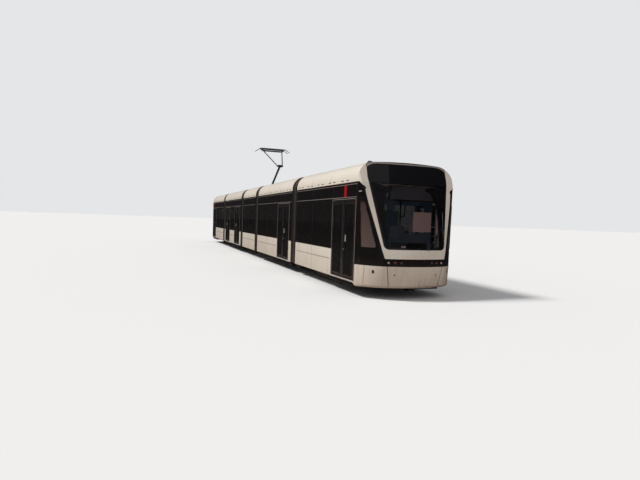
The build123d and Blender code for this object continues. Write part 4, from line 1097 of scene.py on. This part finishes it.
def gangway(number, first, second, x):
    outward = 1 if x > 0 else -1
    pleats = bmesh.new()
    pleats.from_mesh(nodes[f"bellows_{number}"].data)
    bmesh.ops.remove_doubles(pleats, verts=pleats.verts, dist=hoopSpec["merge"])
    cloth = newObject(f"gangway_cloth_{number}", meshFrom(pleats, bellowsCloth, smooth=35))
    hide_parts(f"bellows_{number}")
    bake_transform(cloth)
    for name, key, material in (("middle_hoop", "middle", hoopGrey), ("pleat_edges", "edges", rubberBlack)):
        offsets, radius = hoopSpec[key]
        mesh = archPiece([x + offset for offset in offsets], hoopSpec["inset"], radius, material)
        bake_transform(newObject(f"{name}_{first}_{second}", mesh))
    offset, inset, radius = hoopSpec["frame"]
    for body, side in ((first, -outward), (second, outward)):
        frameMesh = archPiece([x + side * offset], inset, radius, rubberBlack)
        place(f"hoop_frame_{body}_{first}_{second}", frameMesh, body, False)


for number, first, second, x in gangways:
    gangway(number, first, second, x)
print("gangways dressed")


# running gear: coil springs, axle box bolts and hub bolts
gearSpec = {"springAt": (0.33, 0.905, 0.35), "boltRing": (8, 0.1, 1.0005), "nutRing": (10, 0.165, 0.764),
            "spring": {"Radius": 0.128, "Wire": 0.017, "Turns": 4.5, "Height": 0.27},
            "bolt": {"Radius": 0.011, "Height": 0.014, "Sides": 6, "Crown": 1.0},
            "nut": {"Radius": 0.013, "Height": 0.016, "Sides": 6, "Crown": 0.9}}


def boltRings(centres, ring, sizes):
    count, radius, face = ring
    spots, turns = [], []
    for side in both:
        for centreX in centres:
            spots += [(x, side * face, z) for x, z in ringPoints(count, radius, centreX, axleZ)]
            turns += [facing((0, side, 0))] * count
    return bake(studs, spots, sizes, steelGrey, turns=turns)


def runningGear(number, x):
    springX, springY, springZ = gearSpec["springAt"]
    spots = [(x + end * springX, side * springY, springZ) for side in both for end in both]
    place(f"coil_springs_{number}", bake(coils, spots, gearSpec["spring"], steelGrey), f"bogie_{number}")
    bolts = boltRings([x + end * axleHalf for end in both], gearSpec["boltRing"], gearSpec["bolt"])
    place(f"axle_box_bolts_{number}", bolts, f"bogie_{number}")
    for wheel in (2 * number - 1, 2 * number):
        nuts = boltRings([wheelX[wheel]], gearSpec["nutRing"], gearSpec["nut"])
        place(f"wheel_bolts_{wheel}", nuts, f"wheelset_{wheel}")


for number, x in bogieX.items():
    runningGear(number, x)

# roof cases by body: low and high end, half width and height over the deck; louvres, lids, fans and bolts
roofCases = {"section_1": ((8.2, 9.4, 0.64, 0.2), (9.6, 10.9, 0.64, 0.185), (11.2, 12.2, 0.6, 0.17)),
             "section_2": ((2.4, 3.7, 0.64, 0.2), (4.0, 5.4, 0.62, 0.18), (5.7, 6.9, 0.64, 0.2)),
             "centre_section": ((0.3, 1.25, 0.64, 0.18),)}
caseSpec = {"louvre": (0.85, 0.012, 0.012), "pitch": 0.03, "lid": 0.012, "lidZ": (-0.004, 0.014),
            "bevel": 0.004, "fanX": (-0.28, 0.28), "fan": ((0, 0, 1), 0.2, 0.03, 36), "fanRise": 0.02,
            "bolts": (6, 0.17), "boltRise": 0.037,
            "bolt": {"Radius": 0.012, "Height": 0.006, "Sides": 6, "Crown": 1.0}}


def roofGear(body):
    louvres, bolts, rims = [], [], bmesh.new()
    lid, pitch, (lidLow, lidHigh) = caseSpec["lid"], caseSpec["pitch"], caseSpec["lidZ"]
    for low, high, half, height in roofCases[body]:
        top, middle = deckZ + height, (low + high) / 2
        louvres += [(middle, side * half, deckZ + pitch + pitch * index)
                    for side in both for index in range(int(height / pitch) - 1)]
        slab(rims, (low - lid, -half - lid, top + lidLow), (high + lid, half + lid, top + lidHigh),
             caseSpec["bevel"])
        for x in (middle + offset for offset in caseSpec["fanX"]):
            disc(rims, (x, 0, top + caseSpec["fanRise"]), *caseSpec["fan"])
            bolts += [(*spot, top + caseSpec["boltRise"]) for spot in ringPoints(*caseSpec["bolts"], x, 0)]
    place(f"case_louvres_{body}", bake(slats, louvres, {"Size": caseSpec["louvre"]}, slotDark), body)
    place(f"case_lids_{body}", meshFrom(rims, caseGrey, smooth=30), body)
    place(f"case_bolts_{body}", bake(studs, bolts, caseSpec["bolt"], steelGrey), body)


for body in roofCases:
    roofGear(body)

# pantograph: carbon strips on the head, raising springs and a cable at the foot
footX, footZ, armLength, armAngle = -1.05, rail + 3.4, 1.8, math.radians(30)
headZ = footZ + 2 * armLength * math.sin(armAngle)
mastSpec = {"stripX": 0.17, "strip": (0.019, 0.55), "stripZ": (0.093, 0.101), "bevel": 0.003,
            "spring": ((0.1, 0.14, -0.05), (0.85, 0.14, -0.06)), "springR": (0.03, 0.01, 14),
            "cable": [(footX + 0.95, 0.3, footZ - 0.08), (footX + 1.05, 0.34, footZ - 0.15),
                      (footX + 1.25, 0.4, deckZ + 0.03), (1.35, 0.4, deckZ + 0.02)], "cableR": (0.016, 0.08)}


def pantographTrim():
    halfX, halfY = mastSpec["strip"]
    low, high = (headZ + rise for rise in mastSpec["stripZ"])
    spots = [footX + side * mastSpec["stripX"] for side in both]
    strips = [((x - halfX, -halfY, low), (x + halfX, halfY, high), mastSpec["bevel"]) for x in spots]
    place("carbon_strips", slabPiece(strips, carbon), "pantograph_head")
    radius, bend, sides = mastSpec["springR"]
    lines = [[(footX + x, side * y, footZ + z) for x, y, z in mastSpec["spring"]] for side in both]
    place("raising_springs", rodPiece(lines, radius, steelGrey, bend, sides), "centre_section")
    radius, bend = mastSpec["cableR"]
    place("roof_cable", rodPiece([mastSpec["cable"]], radius, rubberBlack, bend), "centre_section")


pantographTrim()
print("running gear and roof dressed")

# studio: a plain pale floor and backdrop, soft light from behind the lit side
studio = {"reach": 400.0, "rough": 0.9, "floor": (0.72, 0.71, 0.69), "bounce": (0.45, 0.395, 0.34),
          "floorGloss": (0.012, 0.011, 0.011), "backdrop": (0.78, 0.79, 0.8), "sky": (0.94, 0.95, 1.0),
          "gloss": (0.07, 0.066, 0.066), "skyStrength": 0.44, "ceiling": (0.55, 1.0, 0.0, 0.6),
          "suns": (("keySun", 3.1, 12.0, (40, 0, -20)), ("fillSun", 0.22, 60.0, (50, 0, 80)))}


def buildFloor():
    material, tree, shader = newMaterial("studioFloor")
    shader["Roughness"].default_value = studio["rough"]
    shader["Specular IOR Level"].default_value = 0.0
    path = addNode(tree, "ShaderNodeLightPath").outputs
    unseen = mixColour(tree, path["Is Glossy Ray"], studio["bounce"], studio["floorGloss"])
    tree.links.new(mixColour(tree, path["Is Camera Ray"], unseen, studio["floor"]), shader["Base Color"])
    reach = studio["reach"]
    corners = [(-reach, -reach, 0), (reach, -reach, 0), (reach, reach, 0), (-reach, reach, 0)]
    mesh = bpy.data.meshes.new("studioFloor")
    mesh.from_pydata(corners, [], [(0, 1, 2, 3)])
    mesh.materials.append(material)
    newObject("studioFloor", mesh)


def buildSky():
    world = bpy.data.worlds.new("studioWorld")
    bpy.context.scene.world = world
    world.use_nodes = True
    tree = world.node_tree
    path = addNode(tree, "ShaderNodeLightPath").outputs
    toward = addNode(tree, "ShaderNodeTexCoord").outputs["Generated"]
    height = addNode(tree, "ShaderNodeSeparateXYZ", {0: toward}).outputs[2]
    mirrored = mixColour(tree, rangeNode(tree, height, *studio["ceiling"]), studio["gloss"], studio["sky"])
    sky = mixColour(tree, path["Is Glossy Ray"], studio["sky"], mirrored)
    lit = tree.nodes["Background"]
    lit.inputs["Strength"].default_value = studio["skyStrength"]
    tree.links.new(sky, lit.inputs["Color"])
    seen = addNode(tree, "ShaderNodeBackground", {"Color": studio["backdrop"]})
    choose = addNode(tree, "ShaderNodeMixShader", {
        0: path["Is Camera Ray"], 1: lit.outputs[0], 2: seen.outputs[0]})
    tree.links.new(choose.outputs[0], tree.nodes["World Output"].inputs[0])


def hangSuns():
    for name, power, size, turn in studio["suns"]:
        light = bpy.data.lights.new(name, "SUN")
        light.energy = power
        light.angle = math.radians(size)
        lamp = newObject(name, light)
        lamp.rotation_euler = [math.radians(value) for value in turn]


buildFloor()
buildSky()
hangSuns()

# camera: fitted to the photograph's lines, in metres, radians and millimetres
lens = {"place": (23.819, -6.1726, 1.8442), "yaw": 0.3435, "pitch": 0.0408, "roll": 0.0346,
        "focus": 28.125, "sensor": 36.0, "reach": 2000.0}


def setCamera():
    level = Vector((-math.cos(lens["yaw"]), math.sin(lens["yaw"]), 0))
    right = Vector((math.sin(lens["yaw"]), math.cos(lens["yaw"]), 0))
    forward = level * math.cos(lens["pitch"]) - Vector((0, 0, math.sin(lens["pitch"])))
    upward = Vector((0, 0, math.cos(lens["pitch"]))) + level * math.sin(lens["pitch"])
    across = right * math.cos(lens["roll"]) + upward * math.sin(lens["roll"])
    rising = upward * math.cos(lens["roll"]) - right * math.sin(lens["roll"])
    view = bpy.data.cameras.new("photoCamera")
    view.lens = lens["focus"]
    view.sensor_width = lens["sensor"]
    view.clip_end = lens["reach"]
    camera = newObject("photoCamera", view)
    axes = Matrix((across, rising, -forward)).transposed().to_4x4()
    camera.matrix_world = Matrix.Translation(lens["place"]) @ axes
    bpy.context.scene.camera = camera


setCamera()
bpy.context.scene.view_settings.view_transform = "Standard"
print("studio and camera set")

bpy.context.view_layer.update()
